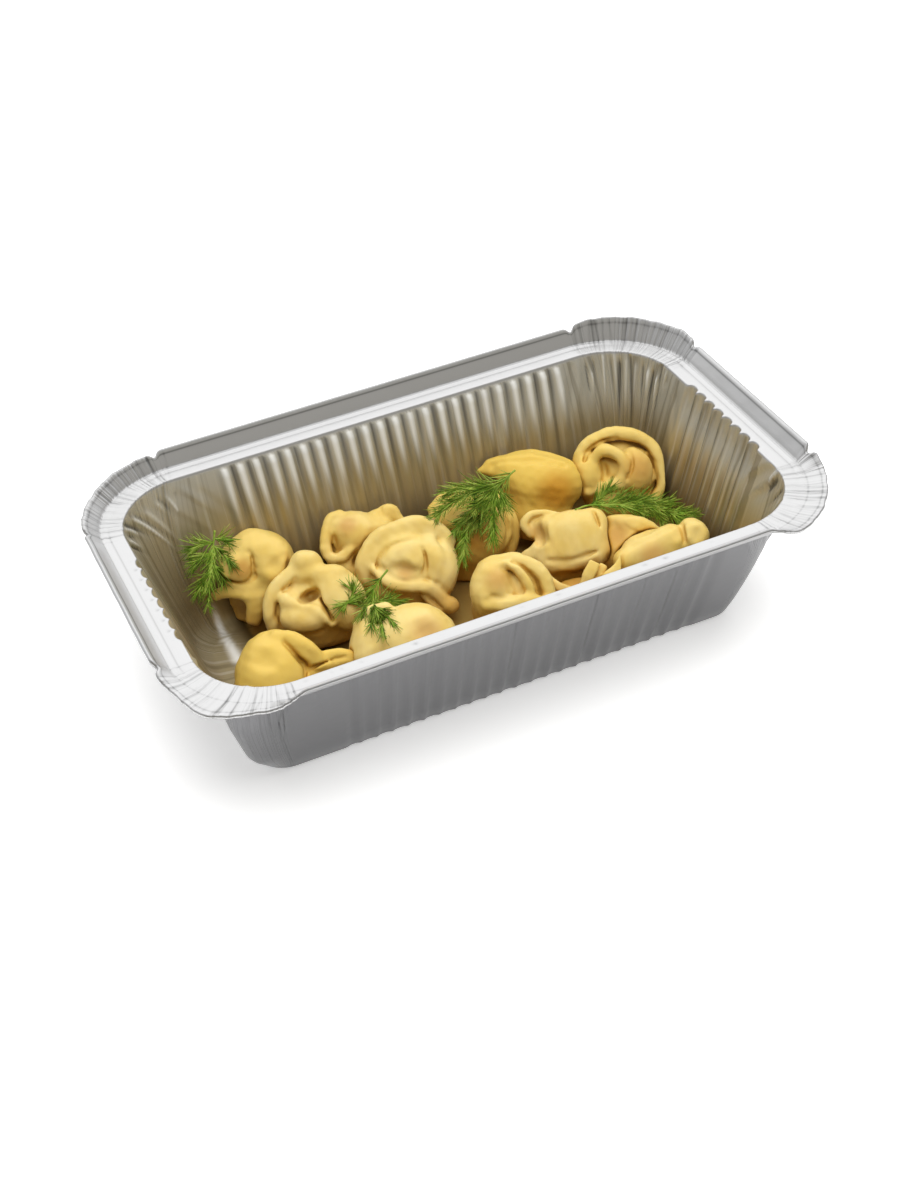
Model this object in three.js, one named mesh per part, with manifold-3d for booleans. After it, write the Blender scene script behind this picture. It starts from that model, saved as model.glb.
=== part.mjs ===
// Boiled dumplings with dill in a pressed aluminium-foil tray, ready to take away.
// Millimetres, +Z up. The origin is at the middle of the tray's base, on the table.
// X runs along the tray's length and the near long side faces -Y.

import * as THREE from 'three';
import { mergeVertices } from 'three/addons/utils/BufferGeometryUtils.js';
import Module from 'manifold-3d';

const wasm = await Module();
wasm.setup();

// ---------------------------------------------------------------- driving dimensions

// The tray: a tapering rectangular pan with a flat ledge and a lip that leans outwards.
const MOUTH_LENGTH = 195.2;
const MOUTH_WIDTH = 113.7;
const MOUTH_CORNER = 24;
const LEDGE_HEIGHT = 50.6;
const LEDGE_WIDTH = 7;
const LIP_LENGTH = 6.3;
const LIP_LEAN = THREE.MathUtils.degToRad(44.6);
const END_TAPER = THREE.MathUtils.degToRad(16.5);
const SIDE_TAPER = THREE.MathUtils.degToRad(20.2);
const BASE_BEND = 6;
const BEND_CORNER = 11;
const BASE_CORNER = 8;
const LEDGE_CORNER = 31;
const FOIL = 0.5;

// The upright flutes pressed into the walls, and the pleats at the four corners.
const FLUTE_PITCH = 5.4;
const FLUTES_LONG_SIDE = 23;
const FLUTES_SHORT_SIDE = 7;
const FLUTE_DEPTH = 1.1;
const FLUTE_PEAK_HEIGHT = 41;
const FLUTE_PEAK_CORNER = 13;
const CORNER_STEPS = 5;
const PLEAT_DEPTH = 0.7;

// The lip of a corner: how far it leans out from upright, and how long it is.
const NEAR_CORNER = { lean: THREE.MathUtils.degToRad(86), length: 7 };
const FAR_LEFT_CORNER = { lean: THREE.MathUtils.degToRad(56), length: 7 };
const FAR_RIGHT_CORNER = { lean: THREE.MathUtils.degToRad(44), length: 8.4 };

// Pieces that touch keep this gap.
const GAP = 0.3;

// The dumplings turn their faces to the near left, as far round and as far up as this. Each
// one's own axes run to the right across its face, up its face, and out of its face.
const FACE_AZIMUTH = THREE.MathUtils.degToRad(-21.3);
const FACE_ELEVATION = THREE.MathUtils.degToRad(38.5);
const FACE_ROLL = THREE.MathUtils.degToRad(-5);

// How finely the dough is faceted.
const BALL_SEGMENTS = 8;
const BALL_RINGS = 5;
const FOLD_SIDES = 6;
const FOLD_STEP = 5;

// ---------------------------------------------------------------- materials

const foil = new THREE.MeshStandardMaterial({ color: 0xc8c8c6, roughness: 0.32, metalness: 1 });
const dough = new THREE.MeshStandardMaterial({ color: 0xe2c67c, roughness: 0.55, metalness: 0 });
const herb = new THREE.MeshStandardMaterial({ color: 0x4f7d28, roughness: 0.6, metalness: 0 });

// ---------------------------------------------------------------- meshes and solids

// A closed body through a row of loops that all have the same number of points.
function loft(loops) {
  const count = loops[0].length;
  const positions = loops.flat().flatMap((point) => point.toArray());
  const index = [];
  for (let ring = 0; ring < loops.length - 1; ring++) {
    for (let i = 0; i < count; i++) {
      const a = ring * count + i;
      const b = ring * count + (i + 1) % count;
      index.push(a, b, b + count, a, b + count, a + count);
    }
  }
  addCap(positions, index, loops[0], 0, false);
  addCap(positions, index, loops.at(-1), (loops.length - 1) * count, true);
  const geometry = new THREE.BufferGeometry();
  geometry.setAttribute('position', new THREE.Float32BufferAttribute(positions, 3));
  geometry.setIndex(index);
  return faceOutwards(geometry);
}

// A fan from the middle of a loop closes one end of a loft.
function addCap(positions, index, loop, first, last) {
  const middle = new THREE.Vector3();
  loop.forEach((point) => middle.addScaledVector(point, 1 / loop.length));
  const hub = positions.length / 3;
  positions.push(...middle.toArray());
  for (let i = 0; i < loop.length; i++) {
    const a = first + i;
    const b = first + (i + 1) % loop.length;
    index.push(...(last ? [a, b, hub] : [b, a, hub]));
  }
}

function signedVolume(geometry) {
  const position = geometry.attributes.position;
  const corners = [new THREE.Vector3(), new THREE.Vector3(), new THREE.Vector3()];
  let volume = 0;
  for (let i = 0; i < geometry.index.count; i += 3) {
    corners.forEach((corner, k) => corner.fromBufferAttribute(position, geometry.index.getX(i + k)));
    volume += corners[0].dot(corners[1].clone().cross(corners[2])) / 6;
  }
  return volume;
}

function faceOutwards(geometry) {
  if (signedVolume(geometry) < 0) {
    const index = geometry.index.array;
    for (let i = 0; i < index.length; i += 3) {
      [index[i], index[i + 1]] = [index[i + 1], index[i]];
    }
  }
  return geometry;
}

function toSolid(geometry) {
  const bare = geometry.clone();
  bare.deleteAttribute('normal');
  bare.deleteAttribute('uv');
  const merged = mergeVertices(bare, 1e-4);
  return new wasm.Manifold(new wasm.Mesh({
    numProp: 3,
    vertProperties: new Float32Array(merged.attributes.position.array),
    triVerts: new Uint32Array(merged.index.array),
  }));
}

function toGeometry(solid) {
  const mesh = solid.getMesh();
  const geometry = new THREE.BufferGeometry();
  geometry.setAttribute('position', new THREE.BufferAttribute(new Float32Array(mesh.vertProperties), 3));
  geometry.setIndex(new THREE.BufferAttribute(new Uint32Array(mesh.triVerts), 1));
  return geometry;
}

function union(solids) {
  return solids.reduce((whole, solid) => whole.add(solid));
}

// Cutting can leave crumbs: only the largest body of a solid is the piece.
function largestBody(solid) {
  return solid.decompose().reduce((best, body) => (body.volume() > best.volume() ? body : best));
}

// ---------------------------------------------------------------- the tray

// The stations round the tray, the same for every loop. On a straight, along runs from -1 to 1
// between its corners, and rib is 1 on the crest of a flute. On a corner, turn runs from 0 to 1.
function trayStations() {
  const stations = [];
  const sides = [
    { out: [1, 0], straight: MOUTH_WIDTH / 2 - MOUTH_CORNER, flutes: FLUTES_SHORT_SIDE, corner: FAR_RIGHT_CORNER },
    { out: [0, 1], straight: MOUTH_LENGTH / 2 - MOUTH_CORNER, flutes: FLUTES_LONG_SIDE, corner: FAR_LEFT_CORNER },
    { out: [-1, 0], straight: MOUTH_WIDTH / 2 - MOUTH_CORNER, flutes: FLUTES_SHORT_SIDE, corner: NEAR_CORNER },
    { out: [0, -1], straight: MOUTH_LENGTH / 2 - MOUTH_CORNER, flutes: FLUTES_LONG_SIDE, corner: NEAR_CORNER },
  ];
  for (const side of sides) {
    for (let i = -side.flutes; i <= side.flutes; i++) {
      const along = i * FLUTE_PITCH / 2 / side.straight;
      stations.push({ out: side.out, along, rib: (side.flutes + i) % 2, turn: null });
    }
    for (let i = 0; i <= CORNER_STEPS; i++) {
      stations.push({ out: side.out, along: 1, rib: 0, turn: i / CORNER_STEPS, lipThere: side.corner });
    }
  }
  return stations;
}

// One loop: the tray's plan at a height, as half sizes with rounded corners. The lip's reach and
// rise are added outwards and upwards, and on the corners they follow the corner's own lean.
function trayLoop({ halfX, halfY, corner, z, flute = 0, lip = 0, skin = 0 }) {
  return trayStations().map(({ out, along, rib, turn, lipThere }, i) => {
    const [ox, oy] = out;
    const halfOut = ox ? halfX : halfY;
    const straight = (ox ? halfY : halfX) - corner;
    const angle = (turn ?? 0) * Math.PI / 2;
    const blend = turn === null ? 0 : Math.sin(turn * Math.PI);
    const tilt = blend ? THREE.MathUtils.lerp(LIP_LEAN, lipThere.lean, blend) : LIP_LEAN;
    const length = blend ? THREE.MathUtils.lerp(LIP_LENGTH, lipThere.length, blend) : LIP_LENGTH;
    const pleat = blend * PLEAT_DEPTH * (i % 2 ? 1 : -1);
    const reach = lip * length * Math.sin(tilt) + skin * Math.cos(tilt) * lip;
    const rise = lip * (length * Math.cos(tilt) + pleat) - skin * Math.sin(tilt) * lip;
    const radius = corner + reach;
    const outward = turn === null ? halfOut + reach - flute * rib : halfOut - corner + radius * Math.cos(angle);
    const sideways = turn === null ? along * straight : straight + radius * Math.sin(angle);
    return new THREE.Vector3(ox * outward - oy * sideways, oy * outward + ox * sideways, z + rise);
  });
}

function wallLoop(z, corner, flute, skin) {
  const depth = LEDGE_HEIGHT - z;
  return trayLoop({
    halfX: MOUTH_LENGTH / 2 - depth * Math.tan(END_TAPER) + skin,
    halfY: MOUTH_WIDTH / 2 - depth * Math.tan(SIDE_TAPER) + skin,
    corner,
    z,
    flute,
  });
}

// The flat of the base stops where the bend to the wall begins.
const BEND_TOP = BASE_BEND * (1 - Math.sin(SIDE_TAPER));
const BASE_HALF_LENGTH = MOUTH_LENGTH / 2 - baseInset(END_TAPER);
const BASE_HALF_WIDTH = MOUTH_WIDTH / 2 - baseInset(SIDE_TAPER);

function baseInset(taper) {
  return (LEDGE_HEIGHT - BEND_TOP) * Math.tan(taper) + BASE_BEND * Math.cos(taper);
}

function baseLoop(z) {
  return trayLoop({ halfX: BASE_HALF_LENGTH, halfY: BASE_HALF_WIDTH, corner: BASE_CORNER, z });
}

function ledgeLoop(width, corner, z, lip = 0, skin = 0) {
  return trayLoop({
    halfX: MOUTH_LENGTH / 2 + width,
    halfY: MOUTH_WIDTH / 2 + width,
    corner,
    z,
    lip,
    skin,
  });
}

function trayGeometry() {
  return loft([
    baseLoop(FOIL),
    wallLoop(BEND_TOP + FOIL, BEND_CORNER, 0, 0),
    wallLoop(FLUTE_PEAK_HEIGHT, FLUTE_PEAK_CORNER, FLUTE_DEPTH, 0),
    ledgeLoop(0, MOUTH_CORNER, LEDGE_HEIGHT),
    ledgeLoop(LEDGE_WIDTH, LEDGE_CORNER, LEDGE_HEIGHT),
    ledgeLoop(LEDGE_WIDTH, LEDGE_CORNER, LEDGE_HEIGHT, 1),
    ledgeLoop(LEDGE_WIDTH, LEDGE_CORNER, LEDGE_HEIGHT, 1, FOIL),
    ledgeLoop(LEDGE_WIDTH + FOIL, LEDGE_CORNER + FOIL, LEDGE_HEIGHT - FOIL),
    ledgeLoop(FOIL, MOUTH_CORNER + FOIL, LEDGE_HEIGHT - FOIL),
    wallLoop(FLUTE_PEAK_HEIGHT, FLUTE_PEAK_CORNER, FLUTE_DEPTH, FOIL),
    wallLoop(BEND_TOP, BEND_CORNER, 0, FOIL),
    baseLoop(0),
  ]);
}

// The space inside the tray that the food may fill, a gap clear of the foil.
function roomSolid() {
  const plain = (z, corner) => wallLoop(z, corner, 0, -FLUTE_DEPTH - GAP);
  const base = trayLoop({
    halfX: BASE_HALF_LENGTH - 1,
    halfY: BASE_HALF_WIDTH - 1,
    corner: BASE_CORNER,
    z: FOIL + GAP,
  });
  return toSolid(loft([
    base,
    plain(BEND_TOP + FOIL + GAP, BEND_CORNER),
    plain(FLUTE_PEAK_HEIGHT, FLUTE_PEAK_CORNER),
    plain(LEDGE_HEIGHT, MOUTH_CORNER),
  ]));
}

// ---------------------------------------------------------------- dough and herb shapes

// An egg of dough: centre, then half sizes to the right, up and out, then a turn in degrees
// from the right towards up.
function ball([right, up, out, halfRight, halfUp, halfOut, turn = 0], grow) {
  const geometry = new THREE.SphereGeometry(1, BALL_SEGMENTS, BALL_RINGS);
  geometry.scale(halfRight + grow, halfUp + grow, halfOut + grow);
  geometry.rotateZ(THREE.MathUtils.degToRad(turn));
  geometry.translate(right, up, out);
  return toSolid(geometry);
}

function listValue(list, share) {
  const place = share * (list.length - 1);
  const i = Math.min(Math.floor(place), list.length - 2);
  return THREE.MathUtils.lerp(list[i], list[i + 1], place - i);
}

// A rim, flap or tail of dough: a rounded strip that runs through a few places, with a width for
// each of them. Its flat side looks along facing.
function fold({ through, wide, thick, facing = [0, 0, 1] }, grow) {
  const curve = new THREE.CatmullRomCurve3(through.map((place) => new THREE.Vector3(...place)));
  const flat = new THREE.Vector3(...facing);
  const steps = Math.max(2, Math.ceil(curve.getLength() / FOLD_STEP));
  const section = (share, size, shift) => {
    const along = curve.getTangent(share);
    const across = new THREE.Vector3().crossVectors(along, flat).normalize();
    const up = new THREE.Vector3().crossVectors(across, along);
    const middle = curve.getPoint(share).addScaledVector(along, shift);
    const halfWide = size * (listValue(wide, share) / 2 + grow);
    const halfThick = size * (thick / 2 + grow);
    return Array.from({ length: FOLD_SIDES }, (_, k) => {
      const angle = (k + 0.5) / FOLD_SIDES * 2 * Math.PI;
      return middle.clone()
        .addScaledVector(across, halfWide * 1.1 * Math.cos(angle))
        .addScaledVector(up, halfThick * 1.1 * Math.sin(angle));
    });
  };
  const endShift = thick / 2 + grow;
  const loops = [section(0, 0.5, -endShift)];
  for (let i = 0; i <= steps; i++) loops.push(section(i / steps, 1, 0));
  loops.push(section(1, 0.5, endShift));
  return toSolid(loft(loops));
}

function faceFrame(at) {
  const out = new THREE.Vector3(
    Math.sin(FACE_AZIMUTH) * Math.cos(FACE_ELEVATION),
    -Math.cos(FACE_AZIMUTH) * Math.cos(FACE_ELEVATION),
    Math.sin(FACE_ELEVATION),
  );
  const level = new THREE.Vector3(Math.cos(FACE_AZIMUTH), Math.sin(FACE_AZIMUTH), 0);
  const steep = new THREE.Vector3().crossVectors(out, level);
  const right = level.clone().multiplyScalar(Math.cos(FACE_ROLL)).addScaledVector(steep, Math.sin(FACE_ROLL));
  const up = new THREE.Vector3().crossVectors(out, right);
  return new THREE.Matrix4().makeBasis(right, up, out).setPosition(...at);
}

function shapeSolid({ at, balls = [], folds = [] }, grow) {
  const pieces = [...balls.map((spec) => ball(spec, grow)), ...folds.map((spec) => fold(spec, grow))];
  const geometry = toGeometry(union(pieces));
  geometry.applyMatrix4(faceFrame(at));
  return toSolid(geometry);
}

// ---------------------------------------------------------------- the dumplings

// Every dumpling is a disc of dough folded over a filling, pinched along its rim and drawn round
// into a ring, and each has settled in its own way. They are listed from the one that keeps its
// shape most to the one that gives way most where two of them touch.
const DUMPLINGS = {
  dumpling_ring_left: {
    at: [-45, 16, 16.5],
    balls: [
      [-3, -4.6, 0, 11, 7, 8],
      [8.5, 0, 0, 10, 11, 8, 35],
      [-1.5, 13, 1, 5, 4.5, 5],
      [1, -5, -6, 14, 11, 9],
    ],
    folds: [
      {
        through: [[-4, 11, 1], [-10.8, 6, 2], [-14, -1.5, 2.5], [-14, -7, 1], [-11, -12, -2]],
        wide: [4, 4, 4, 4.5, 5],
        thick: 4.5,
      },
    ],
  },
  dumpling_big_arch: {
    at: [-11, 18, 18],
    balls: [
      [1, 0.5, 1, 10.5, 8.5, 7],
      [-1, -1, -6, 15, 13.5, 9],
      [14, -13, 0, 4.4, 4, 4],
    ],
    folds: [
      {
        through: [[-13.6, -3, -1], [-12, 4, 0], [-7, 9.5, 0.5], [2, 12.5, 0], [10, 11.5, -1], [14.5, 5, -3]],
        wide: [7, 8, 8, 7, 6, 5],
        thick: 4.5,
      },
      {
        through: [[-7.5, -3, 6], [-3.5, -7, 6], [5, -8.5, 5], [12, -11.5, 2]],
        wide: [4, 5, 5, 5],
        thick: 4,
      },
    ],
  },
  dumpling_square: {
    at: [40, 5, 17],
    balls: [
      [3.7, 0.3, 0, 11.5, 9.8, 7, 8],
      [1, -5, -6, 10, 11, 8],
    ],
    folds: [
      { through: [[-3, -2, 0], [-9, -4, -1], [-12.5, -5.4, -2]], wide: [10, 6, 3], thick: 3.2 },
      { through: [[-12.4, 4.5, -1], [-9.5, 8.6, -1], [-3, 8.6, -1]], wide: [3, 3, 3], thick: 3 },
    ],
  },
  dumpling_ring_right: {
    at: [74, 27, 22],
    balls: [
      [4, -3, -1, 9, 9.5, 7.5],
      [-9, -2, -1, 7, 8, 7],
      [0, -8, -7, 13, 11, 9],
    ],
    folds: [
      {
        through: [
          [-14, 0, 0], [-10, 7, 0], [-3, 10.6, 0], [5, 10, 0],
          [11.5, 5, 0], [14, -3, 0], [11, -11, 0],
        ],
        wide: [4, 4, 4, 4, 4, 4, 4],
        thick: 6,
      },
    ],
  },
  dumpling_half_moon: {
    at: [43.2, 33, 22.4],
    balls: [
      [3.6, 0.3, -2, 13, 9.8, 10, -12],
      [2, -8, -4, 12, 12, 9],
    ],
    folds: [
      { through: [[-17.6, 2.4, -1], [-12, 4.6, 0], [-4, 6, 0]], wide: [3.5, 7, 9], thick: 4.5 },
    ],
  },
  dumpling_back_left: {
    at: [-57, 36, 21],
    balls: [
      [0.3, 4, -2, 11.9, 9.6, 9],
      [-6.5, 0, 2, 6.2, 6.5, 6.5],
    ],
    folds: [
      { through: [[-13, -6.8, 0], [-7, -6.5, 1], [-2, -8, 1], [-1.3, -15.5, 0]], wide: [6, 6.5, 7, 5.5], thick: 4.5 },
      { through: [[-1, 0, -4], [-3, -9, -9], [-4, -14, -12]], wide: [17, 16, 12], thick: 9 },
    ],
  },
  dumpling_near_left: {
    at: [-69, -6, 13],
    balls: [
      [2, -3, 0, 12.8, 15.5, 12],
      [3, -4, -6, 13, 10, 8],
    ],
    folds: [
      { through: [[3.5, 9, 3], [11, 8, 3], [16.5, 3, 2], [21, 5, 0], [25.5, 4.2, -1]], wide: [5, 6, 5, 6, 4], thick: 5 },
    ],
  },
  dumpling_front_middle: {
    at: [-27, -16, 16],
    balls: [
      [4, 0, 0, 14.2, 12, 11.5],
      [-11, -3.5, -2, 6.5, 12, 9],
      [0, -6, -5, 13, 10, 10],
    ],
  },
  dumpling_front_ring: {
    at: [14, -11, 16],
    balls: [
      [-5, 0, -1, 9, 10.8, 8],
      [0, -5, -5, 12.5, 11, 9],
    ],
    folds: [
      {
        through: [[-8.5, 9, 0], [-2, 10.8, 0.5], [5.5, 9.2, 0.5], [10.2, 4.5, 0], [11.5, -1.5, -1]],
        wide: [4, 4, 4, 4, 4],
        thick: 6,
      },
      { through: [[-4, 8, 3], [1, 6, 4], [4, 2.5, 4], [5, -2, 3]], wide: [3.4, 3.4, 3.4, 3.4], thick: 5 },
    ],
  },
  dumpling_right_roll: {
    at: [68, -15, 17],
    balls: [
      [9.5, 3.5, 0, 6, 6.6, 6.5],
      [-2, -5, -4, 14, 11, 9, 12],
    ],
    folds: [
      { through: [[-12, -3.5, 0], [-4, 0.2, 0.5], [4, 3.2, 0]], wide: [9, 9.5, 10], thick: 9 },
    ],
  },
  dumpling_behind_herb: {
    at: [16.5, 27, 18],
    balls: [
      [0.6, 0, 0, 14.6, 13, 10.5],
      [0, -5, -4, 12, 12, 10],
    ],
  },
  dumpling_back_middle: {
    at: [-23.5, 36, 21],
    balls: [
      [1.5, 2.5, -1, 8.5, 7.8, 7.5],
      [12.5, 8.3, -3, 4.6, 3.8, 3.8],
      [3, -7, -5, 11, 12, 8],
    ],
    folds: [
      { through: [[-5.5, 8, 0], [-8, 2, 1], [-7.5, -5, 1], [-1, -7.5, 1]], wide: [3.6, 4, 4.5, 4.5], thick: 4.5 },
      { through: [[-9.5, 3.5, -3], [-11.5, -2, -3]], wide: [5, 5], thick: 4 },
    ],
  },
  dumpling_petals: {
    at: [40, -13, 13],
    balls: [
      [-2, -1, -4, 9, 6, 5],
      [0, -9, -4, 12.5, 9, 9],
    ],
    folds: [
      { through: [[-11.8, 2, 0], [-9.5, -2, 0], [-5, -4.5, 0]], wide: [2.4, 4.5, 5.5], thick: 3.4 },
      { through: [[1.5, -2, 0], [3, 2, 1], [5, 4.4, 1]], wide: [6.5, 6, 4.5], thick: 3.6 },
      { through: [[6, -0.5, 0], [9, 3, 0], [11.2, 6.8, 0]], wide: [5.5, 4, 2], thick: 3.2 },
    ],
  },
  dumpling_tucked_right: {
    at: [62, 0, 14],
    balls: [
      [-1, -3, -2, 11, 10.5, 9],
    ],
    folds: [
      { through: [[-2, 4, 3], [4, 2, 3], [10, -1, 1]], wide: [6, 8, 6], thick: 4 },
    ],
  },
};

// ---------------------------------------------------------------- the dill

// Each sprig is one solid out to the outline of its bunch of fine leaves.
const SPRIGS = {
  dill_left: {
    at: [-74, 35.5, 25],
    folds: [
      { through: [[2, 14, 0], [1, 6, 1], [0, -4, 1], [0, -12, 0]], wide: [2, 14, 15, 5], thick: 3 },
    ],
  },
  dill_big: {
    at: [12, 18, 32],
    folds: [
      { through: [[14, 14, -2], [8, 9, 0], [-1, -2, 1], [-6, -14, 0]], wide: [1.5, 6, 22, 12], thick: 3 },
    ],
  },
  dill_small: {
    at: [-28.5, -4.4, 21.5],
    folds: [
      { through: [[-8, 5, 0], [0, 0, 3], [6, -9, 6]], wide: [9, 14, 8], thick: 3 },
    ],
  },
  dill_right: {
    at: [69.5, 1.4, 22.6],
    folds: [
      { through: [[-20, -2, 0], [-8, 2, 1], [6, 0, 1], [19, -2, 0]], wide: [1.5, 6, 8, 3], thick: 3 },
    ],
  },
};

// ---------------------------------------------------------------- the meal

function addPiece(group, name, geometry, material) {
  geometry.computeBoundingBox();
  const centre = geometry.boundingBox.getCenter(new THREE.Vector3());
  geometry.translate(-centre.x, -centre.y, -centre.z);
  geometry.computeVertexNormals();
  const mesh = new THREE.Mesh(geometry, material);
  mesh.name = name;
  mesh.position.copy(centre);
  group.add(mesh);
}

const meal = new THREE.Group();
addPiece(meal, 'tray', trayGeometry(), foil);

const room = roomSolid();
const placed = [];

// A piece gives way, by a gap, to those that were placed before it.
function placePieces(specs, material) {
  for (const [name, spec] of Object.entries(specs)) {
    let solid = shapeSolid(spec, 0).intersect(room);
    for (const other of placed) solid = solid.subtract(other);
    addPiece(meal, name, toGeometry(largestBody(solid)), material);
    placed.push(shapeSolid(spec, GAP));
  }
}

placePieces(DUMPLINGS, dough);
placePieces(SPRIGS, herb);

export default meal;
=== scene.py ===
"""Boiled dumplings with dill in a pressed foil tray: looks, light and camera.

Shapes are worked out in millimetres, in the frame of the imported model, and become metres when
their meshes are made. Dough is modelled as distance fields that are meshed here, foil as one
closed sheet swept round the tray, and dill as thin tapered leaves."""

import math

import bpy
import numpy as np
from mathutils import Matrix, Vector
from mathutils.bvhtree import BVHTree


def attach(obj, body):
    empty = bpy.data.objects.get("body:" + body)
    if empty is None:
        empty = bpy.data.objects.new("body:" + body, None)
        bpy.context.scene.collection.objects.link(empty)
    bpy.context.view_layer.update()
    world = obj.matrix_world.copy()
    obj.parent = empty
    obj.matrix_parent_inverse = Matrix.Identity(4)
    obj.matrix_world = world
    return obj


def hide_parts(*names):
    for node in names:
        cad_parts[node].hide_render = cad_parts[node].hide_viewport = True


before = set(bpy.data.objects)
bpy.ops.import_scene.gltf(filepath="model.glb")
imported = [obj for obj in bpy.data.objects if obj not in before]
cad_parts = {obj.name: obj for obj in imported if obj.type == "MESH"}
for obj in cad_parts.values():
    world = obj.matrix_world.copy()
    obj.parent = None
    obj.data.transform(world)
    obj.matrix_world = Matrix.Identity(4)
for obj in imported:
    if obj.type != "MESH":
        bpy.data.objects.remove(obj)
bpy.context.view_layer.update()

MM = 0.001

# ------------------------------------------------------------------ sizes of the tray

MOUTH_HALF = (97.6, 56.85)
MOUTH_CORNER = 24.0
LEDGE_HEIGHT = 50.6
LEDGE_WIDTH = 7.0
END_TAPER = math.radians(16.5)
SIDE_TAPER = math.radians(20.2)
LEAN = np.tan([END_TAPER, SIDE_TAPER])
BASE_BEND = 6.0
FOIL = 0.28

FLUTE_DEPTH = 1.35

# ------------------------------------------------------------------ the view of the dumplings

FACE_AZIMUTH = math.radians(-21.291)
FACE_ELEVATION = math.radians(38.512)
FACE_ROLL = math.radians(-5.039)
CAMERA_TARGET = np.array([-10.49, -21.56, 30.0])
CAMERA_DISTANCE = 594.95
LENS = 57.04
SENSOR = 36.0


def face_axes():
    """Rows: right, up and out of the dumplings' faces, as directions in the model's frame."""
    flat = math.cos(FACE_ELEVATION)
    away, across = math.sin(FACE_AZIMUTH) * flat, -math.cos(FACE_AZIMUTH) * flat
    out = np.array([away, across, math.sin(FACE_ELEVATION)])
    level = np.array([math.cos(FACE_AZIMUTH), math.sin(FACE_AZIMUTH), 0.0])
    steep = np.cross(out, level)
    right = level * math.cos(FACE_ROLL) + steep * math.sin(FACE_ROLL)
    return np.array([right, np.cross(out, right), out])


AXES = face_axes()


# ------------------------------------------------------------------ mesh helpers

def place_object(name, data):
    """A new object in the scene."""
    obj = bpy.data.objects.new(name, data)
    bpy.context.scene.collection.objects.link(obj)
    return obj


def make_object(name, points, faces, smooth=True):
    """A mesh object from points in millimetres and an array or list of faces."""
    mesh = bpy.data.meshes.new(name)
    mesh.from_pydata((np.asarray(points, float) * MM).tolist(), [], [list(map(int, f)) for f in faces])
    mesh.update()
    if smooth:
        mesh.polygons.foreach_set("use_smooth", [True] * len(mesh.polygons))
    return place_object(name, mesh)


def add_attribute(obj, name, values):
    """A value at each point of a mesh, for its material to read."""
    layer = obj.data.attributes.new(name, "FLOAT", "POINT")
    layer.data.foreach_set("value", np.asarray(values, np.float32))


def waves(points, size, seed, count=9):
    """Smooth unevenness from -1 to 1 over points, with bumps about size across."""
    random = np.random.default_rng(seed)
    total = np.zeros(points.shape[:-1], np.float32)
    for _ in range(count):
        direction = random.normal(size=points.shape[-1])
        direction *= 2 * math.pi / size * random.uniform(0.55, 1.1) / np.linalg.norm(direction)
        total += np.sin(points @ direction.astype(np.float32) + random.uniform(0, 2 * math.pi))
    return total / math.sqrt(count)


def unit(vectors):
    """Vectors, or rows of them, at length 1."""
    return vectors / np.maximum(np.linalg.norm(vectors, axis=-1, keepdims=True), 1e-9)


def smooth_step(low, high, value):
    share = np.clip((value - low) / (high - low), 0, 1)
    return share * share * (3 - 2 * share)


def smooth_min(a, b, soft):
    overlap = np.maximum(soft - np.abs(a - b), 0) / soft
    return np.minimum(a, b) - overlap * overlap * soft / 4


def smooth_max(a, b, soft):
    return -smooth_min(-a, -b, soft)


# ------------------------------------------------------------------ shapes of dough

def ball(right, up, out, half_right, half_up, half_out, turn=0, soft=2.0, carve=False):
    """An egg of dough, turned in degrees from the right towards up."""
    return {"kind": "ball", "centre": (right, up, out), "half": (half_right, half_up, half_out),
            "turn": math.radians(turn), "soft": soft, "carve": carve}


def dent(right, up, out, half_right, half_up, half_out, turn=0, soft=1.6):
    return ball(right, up, out, half_right, half_up, half_out, turn, soft, carve=True)


def pillow(right, up, out, half_right, half_up, half_out, turn=0, soft=2.0, edge=2.6):
    """A cushion-shaped slab with rounded edges."""
    shape = ball(right, up, out, half_right, half_up, half_out, turn, soft)
    return {**shape, "kind": "pillow", "edge": edge}


def fold(through, wide, thick, soft=1.2):
    """A rounded strip of dough through a few places, with a width and a thickness at each."""
    return {"kind": "fold", "path": sample_fold(through, wide, thick, None), "soft": soft, "carve": False}


def crease(through, wide, deep, soft=1.4, lean=0.0):
    """A cut that stands on edge in the dough. Its foot lies to the left of its way if lean is below 0."""
    path = sample_fold(through, np.multiply(deep, 2), wide, lean)
    return {"kind": "fold", "path": path, "soft": soft, "carve": True}


FOLD_STEP = 1.3


def spline(places, share):
    """Points of a Catmull-Rom curve through places, at shares from 0 to 1."""
    places = np.asarray(places, float)
    padded = np.vstack([2 * places[0] - places[1], places, 2 * places[-1] - places[-2]])
    position = np.clip(np.asarray(share) * (len(places) - 1), 0, len(places) - 1 - 1e-9)
    i = position.astype(int)
    s = (position - i)[:, None]
    a, b, c, d = padded[i], padded[i + 1], padded[i + 2], padded[i + 3]
    square = (2 * a - 5 * b + 4 * c - d) * s ** 2
    return 0.5 * (2 * b + (c - a) * s + square + (3 * b - a - 3 * c + d) * s ** 3)


def sample_fold(through, wide, thick, lean):
    """The sections of a strip that lies flat to the face, or that stands on edge with a lean."""
    places = np.asarray(through, float)
    length = np.linalg.norm(np.diff(places, axis=0), axis=1).sum()
    share = np.linspace(0, 1, max(2, math.ceil(length / FOLD_STEP)) + 1)
    middle = spline(places, share)
    along = unit(np.gradient(middle, axis=0))
    across = unit(np.cross(along, (0, 0, 1)))
    if lean is not None:
        across = np.array([0, 0, 1]) - lean * across
        across = unit(across - (across * along).sum(1)[:, None] * along)
    ends = np.linspace(0, 1, len(places))
    half_thick = np.interp(share, ends, np.broadcast_to(thick, len(places))) / 2
    half_wide = np.maximum(np.interp(share, ends, np.broadcast_to(wide, len(places))) / 2, half_thick)
    return {"middle": middle, "across": across, "up": np.cross(across, along),
            "half_wide": half_wide, "half_thick": half_thick}


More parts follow.
